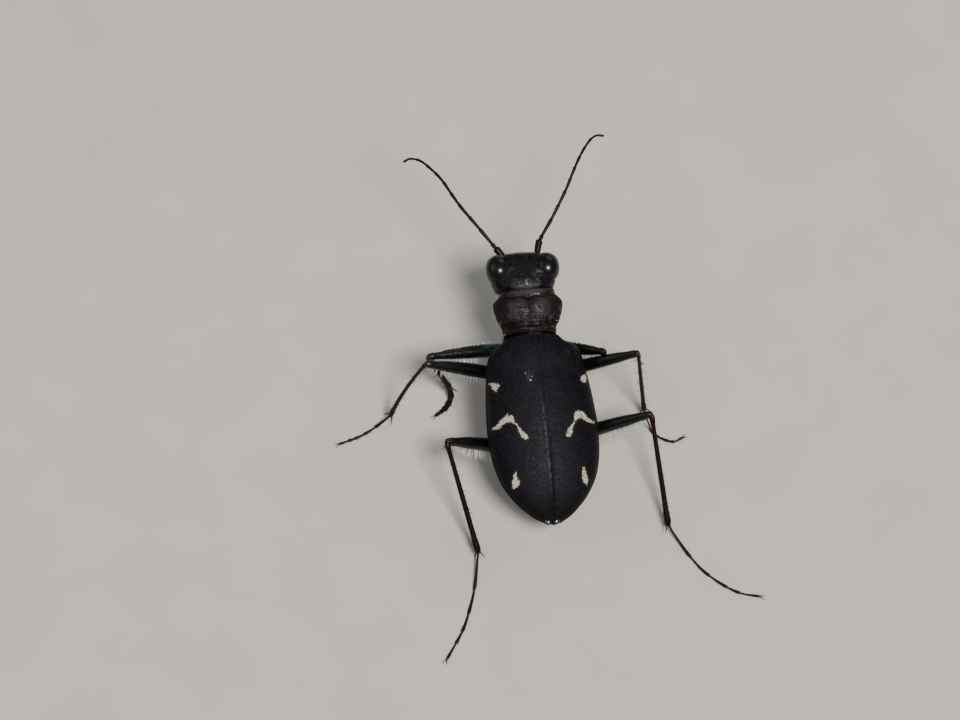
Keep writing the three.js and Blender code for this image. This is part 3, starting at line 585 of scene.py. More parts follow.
def wing_cover(name):
    """One wing cover: a domed shell with its rim and seam edge rounded over. It keeps the depth
    inside its marks, and a crest that is high under a painted highlight and below 0 in
    painted shade."""
    side, rows, columns = SIDES[name], 380, 130
    outer, inner = cover_sheet(side, rows, columns, 0), cover_sheet(side, rows, 26, COVER_WALL)
    seam = 0.5 * (outer[:, :1] + inner[:, :1]) - (side * 0.3 * COVER_SEAM, 0, 0)
    edge = 0.5 * (outer[:, -1:] + inner[:, -1:])
    edge = edge + 0.45 * (edge - 0.5 * (outer[:, -8:-7] + inner[:, -2:-1]))
    ring = np.concatenate([seam, outer, edge, inner[:, ::-1]], axis=1)
    x, y, z = np.moveaxis(ring, -1, 0)
    outside = np.arange(ring.shape[1]) <= columns
    cream = np.where(outside, marked(x + 1j * y, COVER_MARKS[name]), -1)
    rim = ramp(z - cover_rim(np.linspace(0, 1, rows))[:, None], 0.9, -0.9)
    x = np.abs(x)
    line, band = SEAM_SHEEN[name]
    # Painted highlight along the seam line and the band beside it, weak on the right cover
    crest = outside * ramp(y, 2.2, 2) * ramp(y, 7.4, -1.2) * (
        line * hump(x, 0.07, 0.05) + band * hump(x, 0.25, 0.3))
    if side > 0:
        # Painted highlight: a patch of painted sheen round the shining beads on the front of the
        # left cover
        crest = crest + 0.9 * hump(x, 0.53, 0.17) * hump(y, 2, 0.26)
    else:
        shade = outside * ramp(y, 4.6, 1.2) * ramp(x, 0.09, -0.04)
        # Painted shade beside the seam of the right cover, from the middle back
        crest = crest * (1 - shade) - shade
    piece(f"elytron_{name}_shell", [on_hind(ring)], COVER, cream=[cream], crest=[crest],
          rim=[np.maximum(rim, ramp(y, 6.8, 1.6))])
    piece(f"elytron_{name}_beads", [on_hind(bead(*place)) for place in BEADS[name]], BEAD,
          "cover_black")


def shield():
    """The small triangle between the bases of the wing covers: rings that shrink to its point."""
    y = np.linspace(-0.12, SHIELD_LENGTH - 0.04, 40)
    half = np.clip(SHIELD_HALF_WIDTH * (1 - y / SHIELD_LENGTH) - 0.002, 0.006, 0.34)
    top = cover_crest(y) + 0.002
    piece("scutellum_shield", [on_hind(plate_rings(y, half, top, top - 0.12, top - 0.28, 60, 0.3))],
          COVER, cream=[-1], rim=[0], crest=[0])


# ---- Pronotum ----

PRONOTUM_FRONT, PRONOTUM_BACK = -2.2, -0.1
pronotum_half_width = profile((-2.2, 1.27), (-2.02, 1.28), (-1.9, 1.34), (-1.78, 1.48),
                              (-1.62, 1.56), (-1.4, 1.57), (-1.1, 1.5), (-0.8, 1.4),
                              (-0.5, 1.26), (-0.38, 1.23), (-0.1, 1.2))
pronotum_top = profile((-2.2, -0.36), (-2, -0.24), (-1.78, -0.2), (-1.5, -0.07), (-1.1, 0),
                       (-0.7, -0.06), (-0.5, -0.12), (-0.32, -0.05), (-0.2, -0.05), (-0.1, -0.12))
pronotum_bottom = profile((-2.2, -1.85), (-1.8, -2.1), (-1, -2.25), (-0.1, -2.05))


def pronotum():
    """The front thorax: rings that start inside the front collar, roll over its edge, run back and
    roll in under the hind edge. Its back carries a middle line, a bent front furrow, a hind furrow
    with two pits, a raised hind rim, and cross wrinkles that bend round the middle."""
    inside = 10
    y = np.concatenate([np.linspace(-1.8, PRONOTUM_FRONT + 0.01, inside),
                        np.linspace(PRONOTUM_FRONT, PRONOTUM_BACK, 250),
                        np.linspace(PRONOTUM_BACK - 0.01, -0.5, inside)])
    inset = 0.05 * ramp(np.minimum(y - PRONOTUM_FRONT, PRONOTUM_BACK - y), 0.05, -0.05) ** 2
    inset[:inside] = np.linspace(0.32, 0.09, inside)
    inset[-inside:] = inset[inside - 1::-1]
    skin = (inset < 0.05)[:, None]
    grid = plate_rings(y, pronotum_half_width(y) - inset, pronotum_top(y) - inset, -1.1,
                       pronotum_bottom(y) + inset, 340)
    x, back, up = np.moveaxis(grid, -1, 0)
    off, above = np.abs(x), ramp(up, -1.15, 0.3)
    disc = ramp(back, -1.78, 0.12) * ramp(back, -0.5, -0.12)
    furrow = -1.83 + 0.15 * hump(x, 0, 0.2) + 0.05 * hump(off, 0.75, 0.3)
    warp = 0.12 * noise(grid + 9, 0.4, 11) + 0.06 * noise(grid + 9, 0.15, 12)
    bow = 0.22 * hump(x, 0, 0.6) * (back + 1.1)
    cross = np.abs(np.sin(np.pi * (back + bow + warp) / 0.1)) ** 0.7
    net = noise(np.stack([x * 0.75, back, up], -1) + 4, 0.12, 14)
    deep, collar = hump(back, -0.62, 0.28), hump(back, -2.02, 0.14)
    wrinkle = ((0.01 + 0.018 * deep) * (cross - 0.6) * (0.6 + 0.6 * disc)
               + (0.014 + 0.02 * deep) * net)
    swell = (humps(off, back, (0.05, (0.6, 0.42), (-1.2, 0.5)), (-0.05, (0.85, 0.16), (-0.6, 0.12)))
             - 0.04 * hump(back, furrow, 0.085) * hump(x, 0, 1.1) - 0.03 * hump(back, -0.5, 0.12)
             + 0.03 * hump(back, -0.3, 0.06) + wrinkle * (1 - 0.5 * collar)
             + disc * (0.05 * hump(up, -1.02, 0.05) - 0.018 * hump(x, 0, 0.05)))
    swell = skin * (swell * above + (1 - above) * 0.006 * noise(grid, 0.15, 15))
    # Tone: lighter over the collar, sides darkened by painted shade, darker over the hind rim with
    # a thin painted highlight line along it. Through the finish the relief's grooves take painted
    # shade.
    tone = (swell + 0.085 * collar * hump(x, 0, 0.8) - 0.05 * (off / 1.35) ** 4
            - 0.035 * ramp(back, -0.4, 0.08) + 0.05 * hump(back, -0.15, 0.025))
    shape = on_fore(raised(grid, swell))
    piece("pronotum_plate", [shape], PRONOTUM, relief=[np.where(skin, tone, -0.06)])
    return shape[inside:-inside]


# ---- Head ----

EYE_PLACE, EYE_LONG, EYE_HIGH = (1.1, -1.09, -0.94), 0.7, 0.63
EYE_OUTWARD, EYE_INWARD = 0.6, 0.62
HEAD_BEAD = ((-0.12, -0.3, -0.21), (0.1, 0.17, 0.07))
skull_half_width = profile((-1.88, 0.46), (-1.82, 0.8), (-1.7, 0.98), (-1.5, 1.16), (-1.2, 1.32),
                           (-0.9, 1.45), (-0.65, 1.49), (-0.4, 1.45), (-0.2, 1.38), (-0.06, 1.29),
                           (0.02, 1.12), (0.1, 1), (0.4, 0.95))
skull_top = profile((-1.88, -1.05), (-1.82, -0.8), (-1.7, -0.52), (-1.5, -0.38), (-1.2, -0.32),
                    (-0.6, -0.27), (-0.3, -0.26), (-0.16, -0.28), (-0.06, -0.35), (0.03, -0.48),
                    (0.1, -0.56), (0.4, -0.6))
skull_bottom = profile((-1.88, -1.6), (-1.82, -1.78), (-1.7, -1.98), (-1.5, -2.28), (-1.2, -2.35),
                       (-0.6, -2.2), (-0.16, -1.88), (-0.02, -1.75), (0.4, -1.7))


def skull():
    """The head capsule: rings from the face back into the neck. The crown is hollow between the
    eyes, with a raised brow round each eye, lengthwise scratches beside it, a ridge with a knob
    across the back of the head, and two dimples in front."""
    y = -1.88 + 1.6 * (1 - np.cos(np.linspace(0, np.pi / 2, 150))) ** 1.1
    y = np.append(y, np.linspace(y[-1] + 0.008, 0.4, 90))
    square = np.interp(y, [-1.1, -0.3], [0.72, 0.88])[:, None]
    grid = plate_rings(y, skull_half_width(y), skull_top(y), -1.2, skull_bottom(y), 320, square)
    x, back, up = np.moveaxis(grid, -1, 0)
    off, above = np.abs(x), ramp(up, -1.2, 0.35)
    ring = np.hypot((back - EYE_PLACE[1]) / EYE_LONG, (up - EYE_PLACE[2]) / EYE_HIGH)
    knob = humps(x, back, (1, (-0.14, 0.17), (-0.2, 0.11)))
    phase = 2 * np.pi * (off + 0.1 * noise(grid + 5, 0.5, 21)) / 0.085
    scratch = np.sin(phase) * hump(off, 0.58, 0.2) * ramp(back, -0.45, -0.2)
    crown = (humps(x, back, (-0.05, (0, 0.5), (-1.05, 0.5)), (0.02, (-0.05, 0.6), (-0.19, 0.08)))
             + humps(off, back, (-0.05, (0.28, 0.12), (-1.55, 0.2))) + 0.015 * knob
             + 0.007 * scratch + 0.01 * noise(grid + 3, 0.13, 22)
             + 0.008 * noise(grid + 3, 0.3, 23))
    swell = ramp(back, 0.06, -0.1) * (
        above * crown + (1 - above) * 0.004 * noise(grid + 3, 0.08, 24)
        + 0.02 * hump(ring, 0.93, 0.1) * ramp(off, 0.4, 0.2))
    # Painted sheen: the band across the back of the head, mottled, and a share of the knob lighten
    # the crown as painted highlights
    band = humps(x, back, (0.045, (-0.05, 0.6), (-0.14, 0.14)), (0.06, (-0.05, 0.6), (-0.4, 0.36)))
    mottle = 0.022 * noise(grid + 9, 0.17, 25) * hump(back, -0.35, 0.35)
    tone = swell - 0.02 + above * (0.04 * knob + band + mottle)
    shape = on_head(raised(grid, swell))
    piece("head_capsule", [shape], HEAD, relief=[tone])
    # The boss on the head's ridge is painted pale violet as a highlight
    piece("head_bead", [on_head(bead(*HEAD_BEAD))], GLINT_BOSS, "head_black")
    return shape


def eye(name):
    """One bulging eye: an egg that reaches further inwards than outwards."""
    out, beside, above = ball(90, 140, 0.85)
    out = out * np.where(out > 0, EYE_OUTWARD, EYE_INWARD)
    grid = EYE_PLACE + np.stack([out, EYE_LONG * beside, EYE_HIGH * above], -1)
    piece(f"eye_{name}_dome", [on_head(grid * (SIDES[name], 1, 1))], EYE)


def lip():
    """The upper lip: a pale bowed plate with three low teeth, under a dark plate on the face."""
    across, down = np.linspace(-1, 1, 90)[None], np.linspace(0, 1, 40)[:, None]
    off = np.abs(across)
    foot = -2.4 - 0.07 * (hump(across, 0, 0.13) + hump(off, 0.42, 0.11)) + 0.12 * across ** 4
    half = 0.5 + 0.13 * np.sin(np.pi * down ** 0.8) + 0.06 * down
    bow = 0.16 * (1 - across ** 2) * np.sin(0.35 + 2.4 * down) - 0.02
    thick = 0.055 * (1 - off ** 5) * (1 - down ** 6) + 0.012
    plate = slab(half * across, -1.85 - bow, -1.8 + (foot + 1.8) * down, thick)
    edge = 0.5 * ramp(off, 0.86, 0.14) + 0.4 * ramp(down, 0.9, 0.1)
    piece("labrum_plate", [on_head(plate)], IVORY, tip=[np.concatenate([edge, edge[:, ::-1]], 1)])
    down = np.linspace(0, 1, 20)[:, None]
    bow = 0.12 * (1 - across ** 2) + 0.05 * np.sin(np.pi * down) - 0.03 * down
    plate = slab((0.72 - 0.16 * down) * across, -1.8 - bow,
                 -1.5 - 0.36 * down + 0.05 * across ** 2, 0.05)
    piece("clypeus_plate", [on_head(plate)], HEAD, "head_black", relief=[0])


def jaw(name):
    """One sickle jaw: a bowed, tapering blade, pale at its base, with three teeth inside it."""
    flip, tip_y = (SIDES[name], 1, 1), {"left": -2.06, "right": -1.76}[name]
    share = np.linspace(0, 1, 60)
    bent = [(0.8, -1.5, -2.5), (1, -1.78, -2.82), (0.86, -1.96, -3.1), (0.5, tip_y + 0.02, -3.34),
            (0.02, tip_y, -3.42)]
    wide = profile((0, 0.2), (0.3, 0.22), (0.6, 0.15), (0.85, 0.08), (1, 0.025))(share)
    grids = [tube(curve(np.array(bent) * flip, share), wide, wide * 0.8, up=(0, 1, 0), sides=24)]
    for start, end, width in (((0.93, -1.86, -2.9), (0.52, tip_y + 0.06, -2.8), 0.1),
                              ((0.84, -1.95, -3.05), (0.45, tip_y + 0.05, -2.98), 0.085),
                              ((0.64, tip_y + 0.04, -3.24), (0.34, tip_y + 0.02, -3.1), 0.075)):
        grids.append(rod(np.array(start) * flip, np.array(end) * flip,
                         [(0, width), (0.5, 0.7 * width), (1, 0.018)], 16, up=(0, 1, 0), sides=12))
    tips = [np.linspace(*ends, len(grid))[:, None]
            for ends, grid in zip([(0, 1.15)] + 3 * [(0.3, 1.1)], grids)]
    piece(f"mandible_{name}_blade", [on_head(grid) for grid in grids], IVORY, tip=tips)


# Mouth feelers: line, shares of it where the joints meet, and radius
PALPS = {"maxillary": ([(0.98, -1.02, -2.4), (1.14, -1.08, -2.74), (1.22, -1.3, -3),
                        (1.22, -1.52, -3.24), (1.14, -1.72, -3.5)],
                       (0, 0.12, 0.45, 0.68, 1), 0.085),
         "labial": ([(0.4, -0.95, -2.45), (0.5, -1, -2.84), (0.58, -1.16, -3.08),
                     (0.58, -1.36, -3.34), (0.52, -1.54, -3.6)], (0, 0.14, 0.6, 1), 0.08)}


def palps(name):
    """The two mouth feelers of one side, each a row of joints that thicken to their ends."""
    for kind, (line, joints, radius) in PALPS.items():
        count = len(joints) - 1
        grids = chain(np.array(line) * (SIDES[name], 1, 1), joints, [radius] * count, 0.55,
                      flat=0.9, up=(0, 1, 0), sides=16)
        piece(f"{kind}_palp_{name}_joints", [on_head(grid) for grid in grids], SHIN,
              dark=[0.25] * (count - 1) + [0.9])


# Lines of the feelers on the floor frame, and their eleven joints, parted into three solids each
FEELERS = {
    "left": [(0.55, -6.2, 5.42), (0.9, -6.66, 5.66), (1.55, -7.57, 6.1), (2.12, -8.39, 6.4),
             (2.49, -9.03, 6.6), (2.91, -9.85, 6.8), (3.37, -10.47, 6.9), (3.77, -10.88, 6.95),
             (4.21, -11.03, 6.95), (4.53, -10.93, 6.9)],
    "right": [(-1.02, -6.28, 5.42), (-1.2, -6.72, 5.66), (-1.86, -7.52, 6.1), (-2.38, -8.23, 6.4),
              (-2.77, -8.81, 6.6), (-3.13, -9.43, 6.8), (-3.58, -10.18, 6.9), (-4.05, -10.78, 6.95),
              (-4.4, -11.03, 6.95), (-4.78, -11, 6.9)]}
FEELER_JOINTS = [0, 0.085, 0.12, 0.26, 0.37, 0.48, 0.575, 0.665, 0.75, 0.83, 0.91, 1]
FEELER_RADII = [0.175, 0.115, 0.1, 0.095, 0.094, 0.09, 0.086, 0.083, 0.078, 0.074, 0.066]
FEELER_NECKS = [0.85, 0.75] + 9 * [0.74]
FEELER_PARTS = {"scape": (0, 2), "middle": (2, 6), "tip": (6, 11)}


def feeler(name):
    """One feeler of eleven joints: a stout root joint, a bead, and nine slender ones."""
    grids = chain(FEELERS[name], FEELER_JOINTS, FEELER_RADII, FEELER_NECKS, 22, sides=18)
    for part, (first, last) in FEELER_PARTS.items():
        piece(f"antenna_{name}_{part}_joints", grids[first:last], FEELER)


# ---- Trunk ----

STERNITES, THORAX_END, ABDOMEN_END = 6, 4.16, 8.42
# Place along the body with the half width, top and bottom there, for thorax and belly alike
trunk_half_width = profile((-0.3, 0.7), (0.08, 1), (0.4, 1.4), (0.9, 1.65), (1.7, 1.78),
                           (3.1, 1.94), (4.4, 2), (5.6, 1.88), (6.7, 1.56), (7.5, 1.08),
                           (8.3, 0.42), (8.42, 0.2))
trunk_top = profile((-0.3, -0.52), (0.08, -0.46), (0.5, -0.52), (1.1, -0.6), (4, -0.5),
                    (5.5, -0.58), (6.8, -0.78), (7.6, -0.98), (8.3, -1.2), (8.42, -1.3))
trunk_bottom = profile((-0.3, -1.7), (0.08, -2.1), (0.8, -2.7), (2, -2.9), (3.5, -2.85),
                       (5.5, -2.65), (7, -2.3), (8.3, -1.75), (8.42, -1.55))


def thorax():
    """The middle and hind thorax: rings from the waist to the belly, with furrows between the
    plates below and on the flanks and a groove along the middle below."""
    y = np.linspace(-0.3, THORAX_END, 200)
    grid = plate_rings(y, trunk_half_width(y), trunk_top(y), -1.35, trunk_bottom(y), 280)
    x, back, up = np.moveaxis(grid, -1, 0)
    off = np.abs(x)
    swell = (0.03 * hump(off, 0.7, 0.4) - 0.05 * hump(back, 1.25 + 0.25 * off, 0.04)
             - 0.045 * hump(back, 2.95 + 0.12 * np.cos(3 * x), 0.035)
             - 0.04 * hump(x, 0, 0.04) * ramp(back, 1.3, 0.2)
             - 0.045 * hump(up, -1.75 - 0.08 * back, 0.035)
             + 0.008 * noise(grid + 7, 0.12, 31) + 0.006 * noise(grid + 7, 0.3, 32))
    shape = on_hind(raised(grid, swell * ramp(up, -1.1, -0.3)))
    piece("thorax_plates", [shape], BELLY)
    return shape


def abdomen():
    """The belly: rings whose plates each rise to their hind edge and drop to the next."""
    y = np.append(np.linspace(THORAX_END + 0.02, 8.3, 300), np.linspace(8.32, ABDOMEN_END, 8))
    waist = -1.35 + 0.02 * np.maximum(y - 6, 0)
    grid = plate_rings(y, trunk_half_width(y), trunk_top(y), waist, trunk_bottom(y), 260)
    x, back, up = np.moveaxis(grid, -1, 0)
    off = np.abs(x)
    bowed = (back - THORAX_END + 0.07 * off) * STERNITES / (8.3 - THORAX_END)
    part = bowed - np.floor(bowed)
    swell = (0.05 * part ** 1.5 - 0.06 * hump(part, 0, 0.05) - 0.06 * hump(part, 1, 0.03)
             + 0.006 * noise(grid + 2, 0.11, 33) + 0.006 * noise(grid + 2, 0.35, 34)
             - 0.05 * hump(off, 1.45 - 0.12 * np.maximum(back - 5, 0), 0.05) * (up < -1.4))
    shape = on_hind(raised(grid, swell * ramp(back, 8.4, -0.2) - 0.03))
    piece("abdomen_plates", [shape], BELLY)
    return shape


# ---- Legs ----

# Hip on its body plate, then knee, ankle and places along the foot on the floor frame
LEGS = {
    "front_left": [(0.85, 0.08, -3.05), (4.58, -2.34, 4), (3.63, -2.3, 0.62), (3.59, -1.98, 0.2),
                   (3.88, -1.54, 0.1), (4.39, -1.21, 0.08)],
    "front_right": [(-0.85, 0.1, -3.05), (-3.45, -1.38, 4.2), (-2.33, -2.6, 0.62),
                    (-2.45, -2.26, 0.2), (-2.5, -1.75, 0.1), (-2.4, -1.18, 0.08)],
    "middle_left": [(0.9, 1.3, -3.15), (4.76, -1.76, 4.5), (6.49, -1.28, 0.55), (7.25, -0.96, 0.16),
                    (8, -0.64, 0.08), (8.97, -0.39, 0.08)],
    "middle_right": [(-0.9, 1.42, -3.15), (-4.9, -0.86, 4.7), (-5.1, 0.04, 0.55),
                     (-5.26, 0.85, 0.16), (-5.57, 1.27, 0.08), (-6.22, 1.62, 0.07),
                     (-6.7, 1.48, 0.08)],
    "hind_left": [(0.85, 4.66, -3.15), (4.32, 1.92, 3.8), (3.45, 6.05, 0.45), (3.82, 7.64, 0.14),
                  (4.26, 8.85, 0.08), (4.72, 9.79, 0.07), (5.58, 11.03, 0.08)],
    "hind_right": [(-0.85, 4.54, -3.15), (-5.14, 1.75, 3.6), (-5.34, 5.91, 0.45),
                   (-5.8, 6.84, 0.16), (-6.13, 7.47, 0.08), (-6.63, 8.28, 0.07),
                   (-7.43, 9.11, 0.07), (-8.16, 9.62, 0.07), (-8.98, 9.9, 0.08)]}
# Half width of each thigh, and of a shin as a share of its own, by shares of the length
THIGH_WIDTHS = {
    "front": [(0, 0.15), (0.08, 0.25), (0.25, 0.3), (0.5, 0.285), (0.75, 0.225), (0.9, 0.165),
              (0.96, 0.175), (1, 0.13)],
    "middle": [(0, 0.14), (0.06, 0.22), (0.2, 0.29), (0.45, 0.298), (0.75, 0.245), (0.9, 0.185),
               (0.96, 0.18), (1, 0.14)],
    "hind": [(0, 0.14), (0.06, 0.22), (0.2, 0.29), (0.4, 0.305), (0.7, 0.265), (0.88, 0.2),
             (0.95, 0.19), (1, 0.14)]}
THIGH_GREEN = {"front": 0.6, "middle": 0.1, "hind": 0.05}
KNEE_BROWN = {"front": 0.3, "middle": 0.6, "hind": 0.7}
HIP_LEAN = {"front": 0.55, "middle": 0.1, "hind": 0.65}
# How far the spurs reach along the shin and aside
SPUR_REACH = {"front": (0.55, 0.28), "middle": (0.34, 0.34), "hind": (0.36, 0.3)}
SHIN_HALF_WIDTH = {"front": 0.125, "middle": 0.095, "hind": 0.12}
SHIN_FORM = [(0, 0.8), (0.03, 1.15), (0.09, 0.9), (0.5, 1), (0.85, 1.1), (0.97, 1.35), (1, 1.1)]
SHIN_DARK = {"front": 0.8, "middle": 0.8, "hind": 0.25}
SHIN_BEND = {"middle_left": (0.09, -0.06, 0)}
FOOT_RADIUS = {"front": 0.162, "middle": 0.088, "hind": 0.088}
FOOT_NECK = {"front": 0.72, "middle": 0.55, "hind": 0.55}
FOOT_JOINTS = [0, 0.34, 0.56, 0.73, 0.84, 1]


def claw(root, ahead, aside):
    """A thin hook that leaves the last foot joint and curves down to the floor."""
    share = np.linspace(0, 1, 14)
    hook = curve([root, root + 0.13 * ahead + 0.05 * aside + (0, 0, 0.02),
                  root + 0.27 * ahead + 0.1 * aside - (0, 0, 0.055)], share)
    return tube(hook, 0.028 * (1 - 0.75 * share), sides=10)


def lifted(grids, height):
    """Grids whose points all stand at least a height over the floor."""
    return [np.maximum(grid, (-99, -99, height)) for grid in grids]


def leg(name):
    """One leg: hip with its small second joint, thigh, shin with two spurs, and a foot of five
    joints with two claws. Gives what its hairs need."""
    pair = name.split("_")[0]
    place = on_fore if pair == "front" else on_hind
    socket, knee, ankle, *toes = map(np.array, LEGS[name])
    hip, root = place(socket), place(socket * (0.8, 1, 1) + (0, -HIP_LEAN[pair], 1.2))
    out, down = unit(knee - hip), unit(ankle - knee)
    coxa = rod(root, hip + 0.06 * out, [(0, 0.38), (0.4, 0.42), (0.75, 0.36), (1, 0.2)], 30,
               up=(0, 1, 0), sides=28)
    second = rod(hip - 0.12 * out - (0, 0, 0.02), hip + 0.36 * out - (0, 0, 0.05),
                 [(0, 0.14), (0.4, 0.2), (0.8, 0.17), (1, 0.08)], 16, sides=20)
    piece(f"coxa_{name}_joint", [coxa, second], BELLY)
    thigh = rod(hip + 0.12 * out, knee - 0.03 * out, THIGH_WIDTHS[pair], 90, flat=1.08,
                bend=(0, 0, 0.015 * np.linalg.norm(knee - hip)), sides=40)
    share = np.linspace(0, 1, len(thigh))[:, None]
    piece(f"femur_{name}_thigh", [thigh], THIGH, knee=[KNEE_BROWN[pair] * ramp(share, 0.88, 0.08)],
          sheen=[THIGH_GREEN[pair] * (0.012 + 0.988 * hump(share, 0.24, 0.075))])
    widths = [(at, size * SHIN_HALF_WIDTH[pair]) for at, size in SHIN_FORM]
    shin = rod(knee + 0.04 * down, ankle, widths, 90, SHIN_BEND.get(name, (0, 0, 0)), up=(0, 1, 0),
               sides=24)
    aside = unit(np.cross(down, unit(toes[0] - ankle)))
    along, beside = SPUR_REACH[pair]
    spurs = lifted([rod(ankle - 0.08 * down + 0.06 * aside * turn,
                        ankle + along * down + beside * aside * turn,
                        [(0, 0.036), (0.6, 0.026), (1, 0.006)], 12, up=(0, 1, 0), sides=10)
                    for turn in (1, -1)], 0.01)
    dark = SHIN_DARK[pair] + 0.8 * hump(np.linspace(0, 1, len(shin))[:, None], 1, 0.15)
    piece(f"tibia_{name}_shin", [shin, *spurs], SHIN, dark=[np.minimum(dark, 1), 0.8, 0.8])
    line, broad = [ankle + 0.02 * down, *toes], FOOT_RADIUS[pair]
    radii = [broad] * 3 + [0.5 * broad + 0.045, 0.35 * broad + 0.045]
    foot = lifted(chain(line, FOOT_JOINTS, radii, FOOT_NECK[pair], 22, 0.85, sides=20), 0)
    end = curve(line, 1)
    ahead = unit((end - curve(line, 0.95)) * (1, 1, 0))
    across = np.array([-ahead[1], ahead[0], 0])
    claws = lifted([claw(end - 0.03 * ahead, ahead, across * turn) for turn in (1, -1)], 0)
    piece(f"tarsus_{name}_foot", foot + claws, FOOT)
    return pair, out, down, coxa, thigh, shin, foot


# ---- Hairs ----

rng = np.random.default_rng(7)
FRINGE_WAY = np.array([0, 0.76, -0.65])
# Fringes of a thigh, below and above: number of hairs and their lengths
FRINGES = {"front": ((80, (0.3, 0.5)), (26, (0.1, 0.22))), "middle": ((26, (0.2, 0.35)),),
           "hind": ((95, (0.35, 0.6)),)}
FRINGE_THICK = 0.036


def batch(places, outward, ways, bends, lengths, thick, chart):
    """A batch of hairs as hair_piece takes it, rooted just under the skin."""
    count = len(places)
    return (places - 0.01 * outward, ways, bends, rng.uniform(*lengths, count),
            np.full(count, thick), 0.004 + 0.992 * chart)


def tuft(grid, count, lie, lengths, thick, rise=0.6, loose=0.25, sag=0.1, keep=None):
    """Hairs at random places of a grid, which leave the skin partly outward and partly along a
    lie. keep says which places stay."""
    rows, columns = grid.shape[:2]
    i, j = rng.integers(1, rows - 1, count * 6), rng.integers(0, columns, count * 6)
    found = grid[i, j], normals(grid)[i, j], np.stack([i / rows, j / columns], -1)
    good = keep(*found[:2]) if keep else slice(None)
    places, outward, chart = (part[good][:count] for part in found)
    ways = rise * outward + (1 - rise) * unit(lie) + loose * rng.normal(size=places.shape)
    bends = 0.08 * rng.normal(size=places.shape) - (0, 0, sag)
    return batch(places, outward, ways, bends, lengths, thick, chart)


def fringe(grid, way, count, lengths):
    """A comb of nearly parallel hairs along the side of a limb that faces a way."""
    rows = np.linspace(0.12, 0.9, count) * len(grid) + rng.uniform(-0.6, 0.6, count)
    rows = rows.astype(int)
    side = normals(grid)[rows]
    columns = np.argmax(side @ way + 0.08 * rng.normal(size=side.shape[:2]), axis=1)
    ways = way + 0.07 * rng.normal(size=(count, 3))
    chart = np.stack([rows / len(grid), columns / grid.shape[1]], -1)
    return batch(grid[rows, columns], side[np.arange(count), columns], ways,
                 0.05 * rng.normal(size=(count, 3)), lengths, FRINGE_THICK, chart)


def leg_hairs(pair, out, down, coxa, thigh, shin, foot):
    """White fringes under a thigh, bristles round a shin and short ones under a foot."""
    way = unit(FRINGE_WAY - out * (FRINGE_WAY @ out))
    white = [fringe(thigh, side * way, *size) for side, size in zip((1, -1), FRINGES[pair])]
    white += [tuft(thigh[7:90], 30, out, (0.15, 0.3), 0.015, 0.7, 0.2, 0.15,
                   lambda places, ways: ways[:, 2] < 0.25),
              tuft(coxa[11:36], 70, (0, 0, -1), (0.3, 0.5), 0.018, 0.5)]
    brown = [tuft(shin[4:95], 110, down, (0.16, 0.3), 0.017, 0.6, 0.12, 0)]
    brown += [tuft(joint, 12, down, (0.07, 0.13), 0.012, 0.6, 0.2, 0,
                   lambda places, ways: places[:, 2] > 0.05) for joint in foot]
    for roots, *rest in brown:
        roots[:, 2] = np.maximum(roots[:, 2], 0.02)
    return white, brown


def sideways(low, high, out):
    """A choice of places whose normals lie between two heights and more than `out` to a side."""
    return lambda places, ways: ((ways[:, 2] > low) & (ways[:, 2] < high)
                                 & (np.abs(ways[:, 0]) > out))


# ---- Assembly ----

for name in SIDES:
    wing_cover(name)
    eye(name)
    jaw(name)
    palps(name)
shield()
collar = pronotum()
crown = skull()
lip()
trunk, belly = thorax(), abdomen()
for name in SIDES:
    feeler(name)
legs = [leg(name) for name in LEGS]

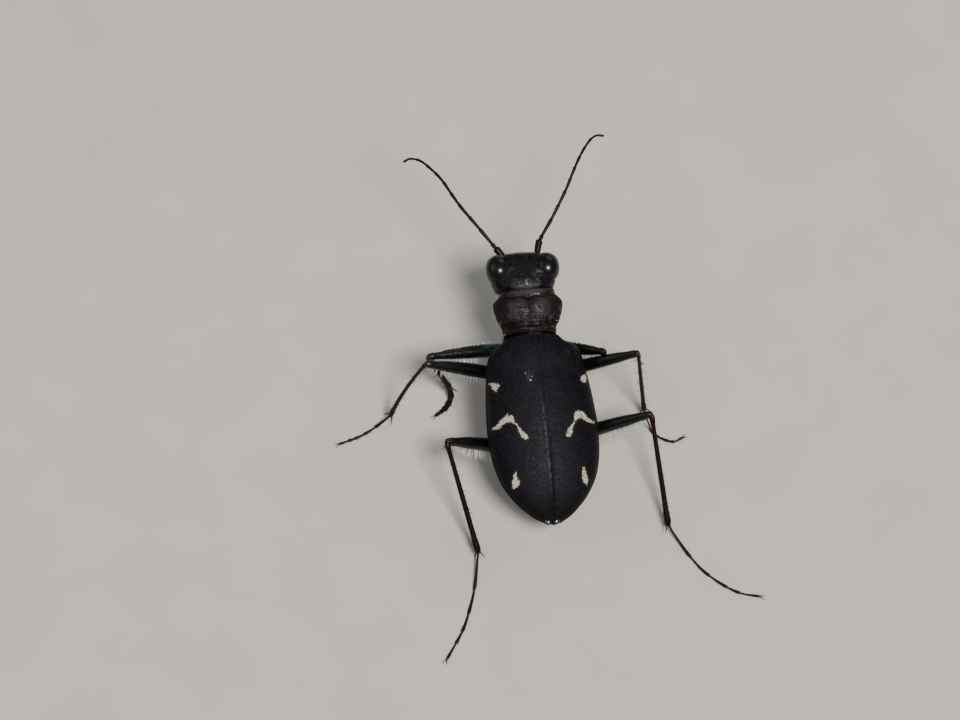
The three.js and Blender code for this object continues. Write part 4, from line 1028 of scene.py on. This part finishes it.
white, brown = [], []
for parts in legs:
    pale, dark = leg_hairs(*parts)
    white += pale
    brown += dark
tail_way = on_hind([0, 1, 0]) - on_hind([0, 0, 0])
flank, edge, cheek = sideways(-2, 0.1, 0.35), sideways(-0.4, 0.4, 0.85), sideways(-2, -0.3, 0.2)
white += [tuft(trunk, 700, tail_way, (0.25, 0.42), 0.017, 0.35, 0.12, keep=flank),
          tuft(belly, 700, tail_way, (0.22, 0.36), 0.016, 0.3, 0.12, keep=flank),
          tuft(collar, 50, tail_way, (0.14, 0.26), 0.014, 0.6, 0.2, keep=edge),
          tuft(crown, 90, (0, -0.5, -1), (0.2, 0.35), 0.015, 0.6, 0.2, keep=cheek)]
hair_piece("white_hairs", white, WHITE_HAIR, "ivory")
hair_piece("brown_hairs", brown, BROWN_HAIR, "shin_brown")

# ---- Floor, light and camera ----

bpy.ops.mesh.primitive_plane_add(size=3)
floor = bpy.context.object
floor.name = "floor"
p = Paint("floor_pale", 0.2, Roughness=0.9)
p.done(p.fade(p.grain(4), 0.3, 0.7, (0.55, 0.52, 0.47), (0.58, 0.55, 0.5)))
floor.data.materials.append(p.material)


def aimed(name, data, azimuth, elevation, distance, target=(0, 0, 0)):
    """Puts a light or camera at a bearing and height in degrees, looking back at a target."""
    a, e = math.radians(azimuth), math.radians(elevation)
    way = Vector((math.sin(a) * math.cos(e), -math.cos(a) * math.cos(e), math.sin(e)))
    made = bpy.data.objects.new(name, data)
    made.location = Vector(target) + way * distance
    made.rotation_euler = (-way).to_track_quat("-Z", "Y").to_euler()
    bpy.context.scene.collection.objects.link(made)
    return made


# Square soft lights: name, bearing, height, distance in metres, size, power and colour
LAMPS = [("key", 205, 62, 0.6, 0.16, 4.2, (1, 0.97, 0.92)),
         ("fill", 80, 45, 0.7, 0.5, 0.8, (0.9, 0.95, 1)),
         ("rim", 330, 35, 0.7, 0.4, 0.5, (1, 0.98, 0.95))]
for name, *place, size, power, color in LAMPS:
    light = bpy.data.lights.new(name, "AREA")
    light.size, light.energy, light.color = size, power, color
    aimed(name, light, *place)
world = bpy.data.worlds.new("studio")
bpy.context.scene.world = world
world.use_nodes = True
sky = world.node_tree.nodes["Background"].inputs
sky["Color"].default_value, sky["Strength"].default_value = (0.9, 0.93, 1, 1), 0.22

view = bpy.data.cameras.new("camera")
view.lens, view.sensor_width, view.clip_start, view.clip_end = LENS, 36, 0.01, 10
bpy.context.scene.camera = aimed("camera", view, AZIMUTH, ELEVATION, DISTANCE * MM,
                                 [MM * c for c in TARGET])
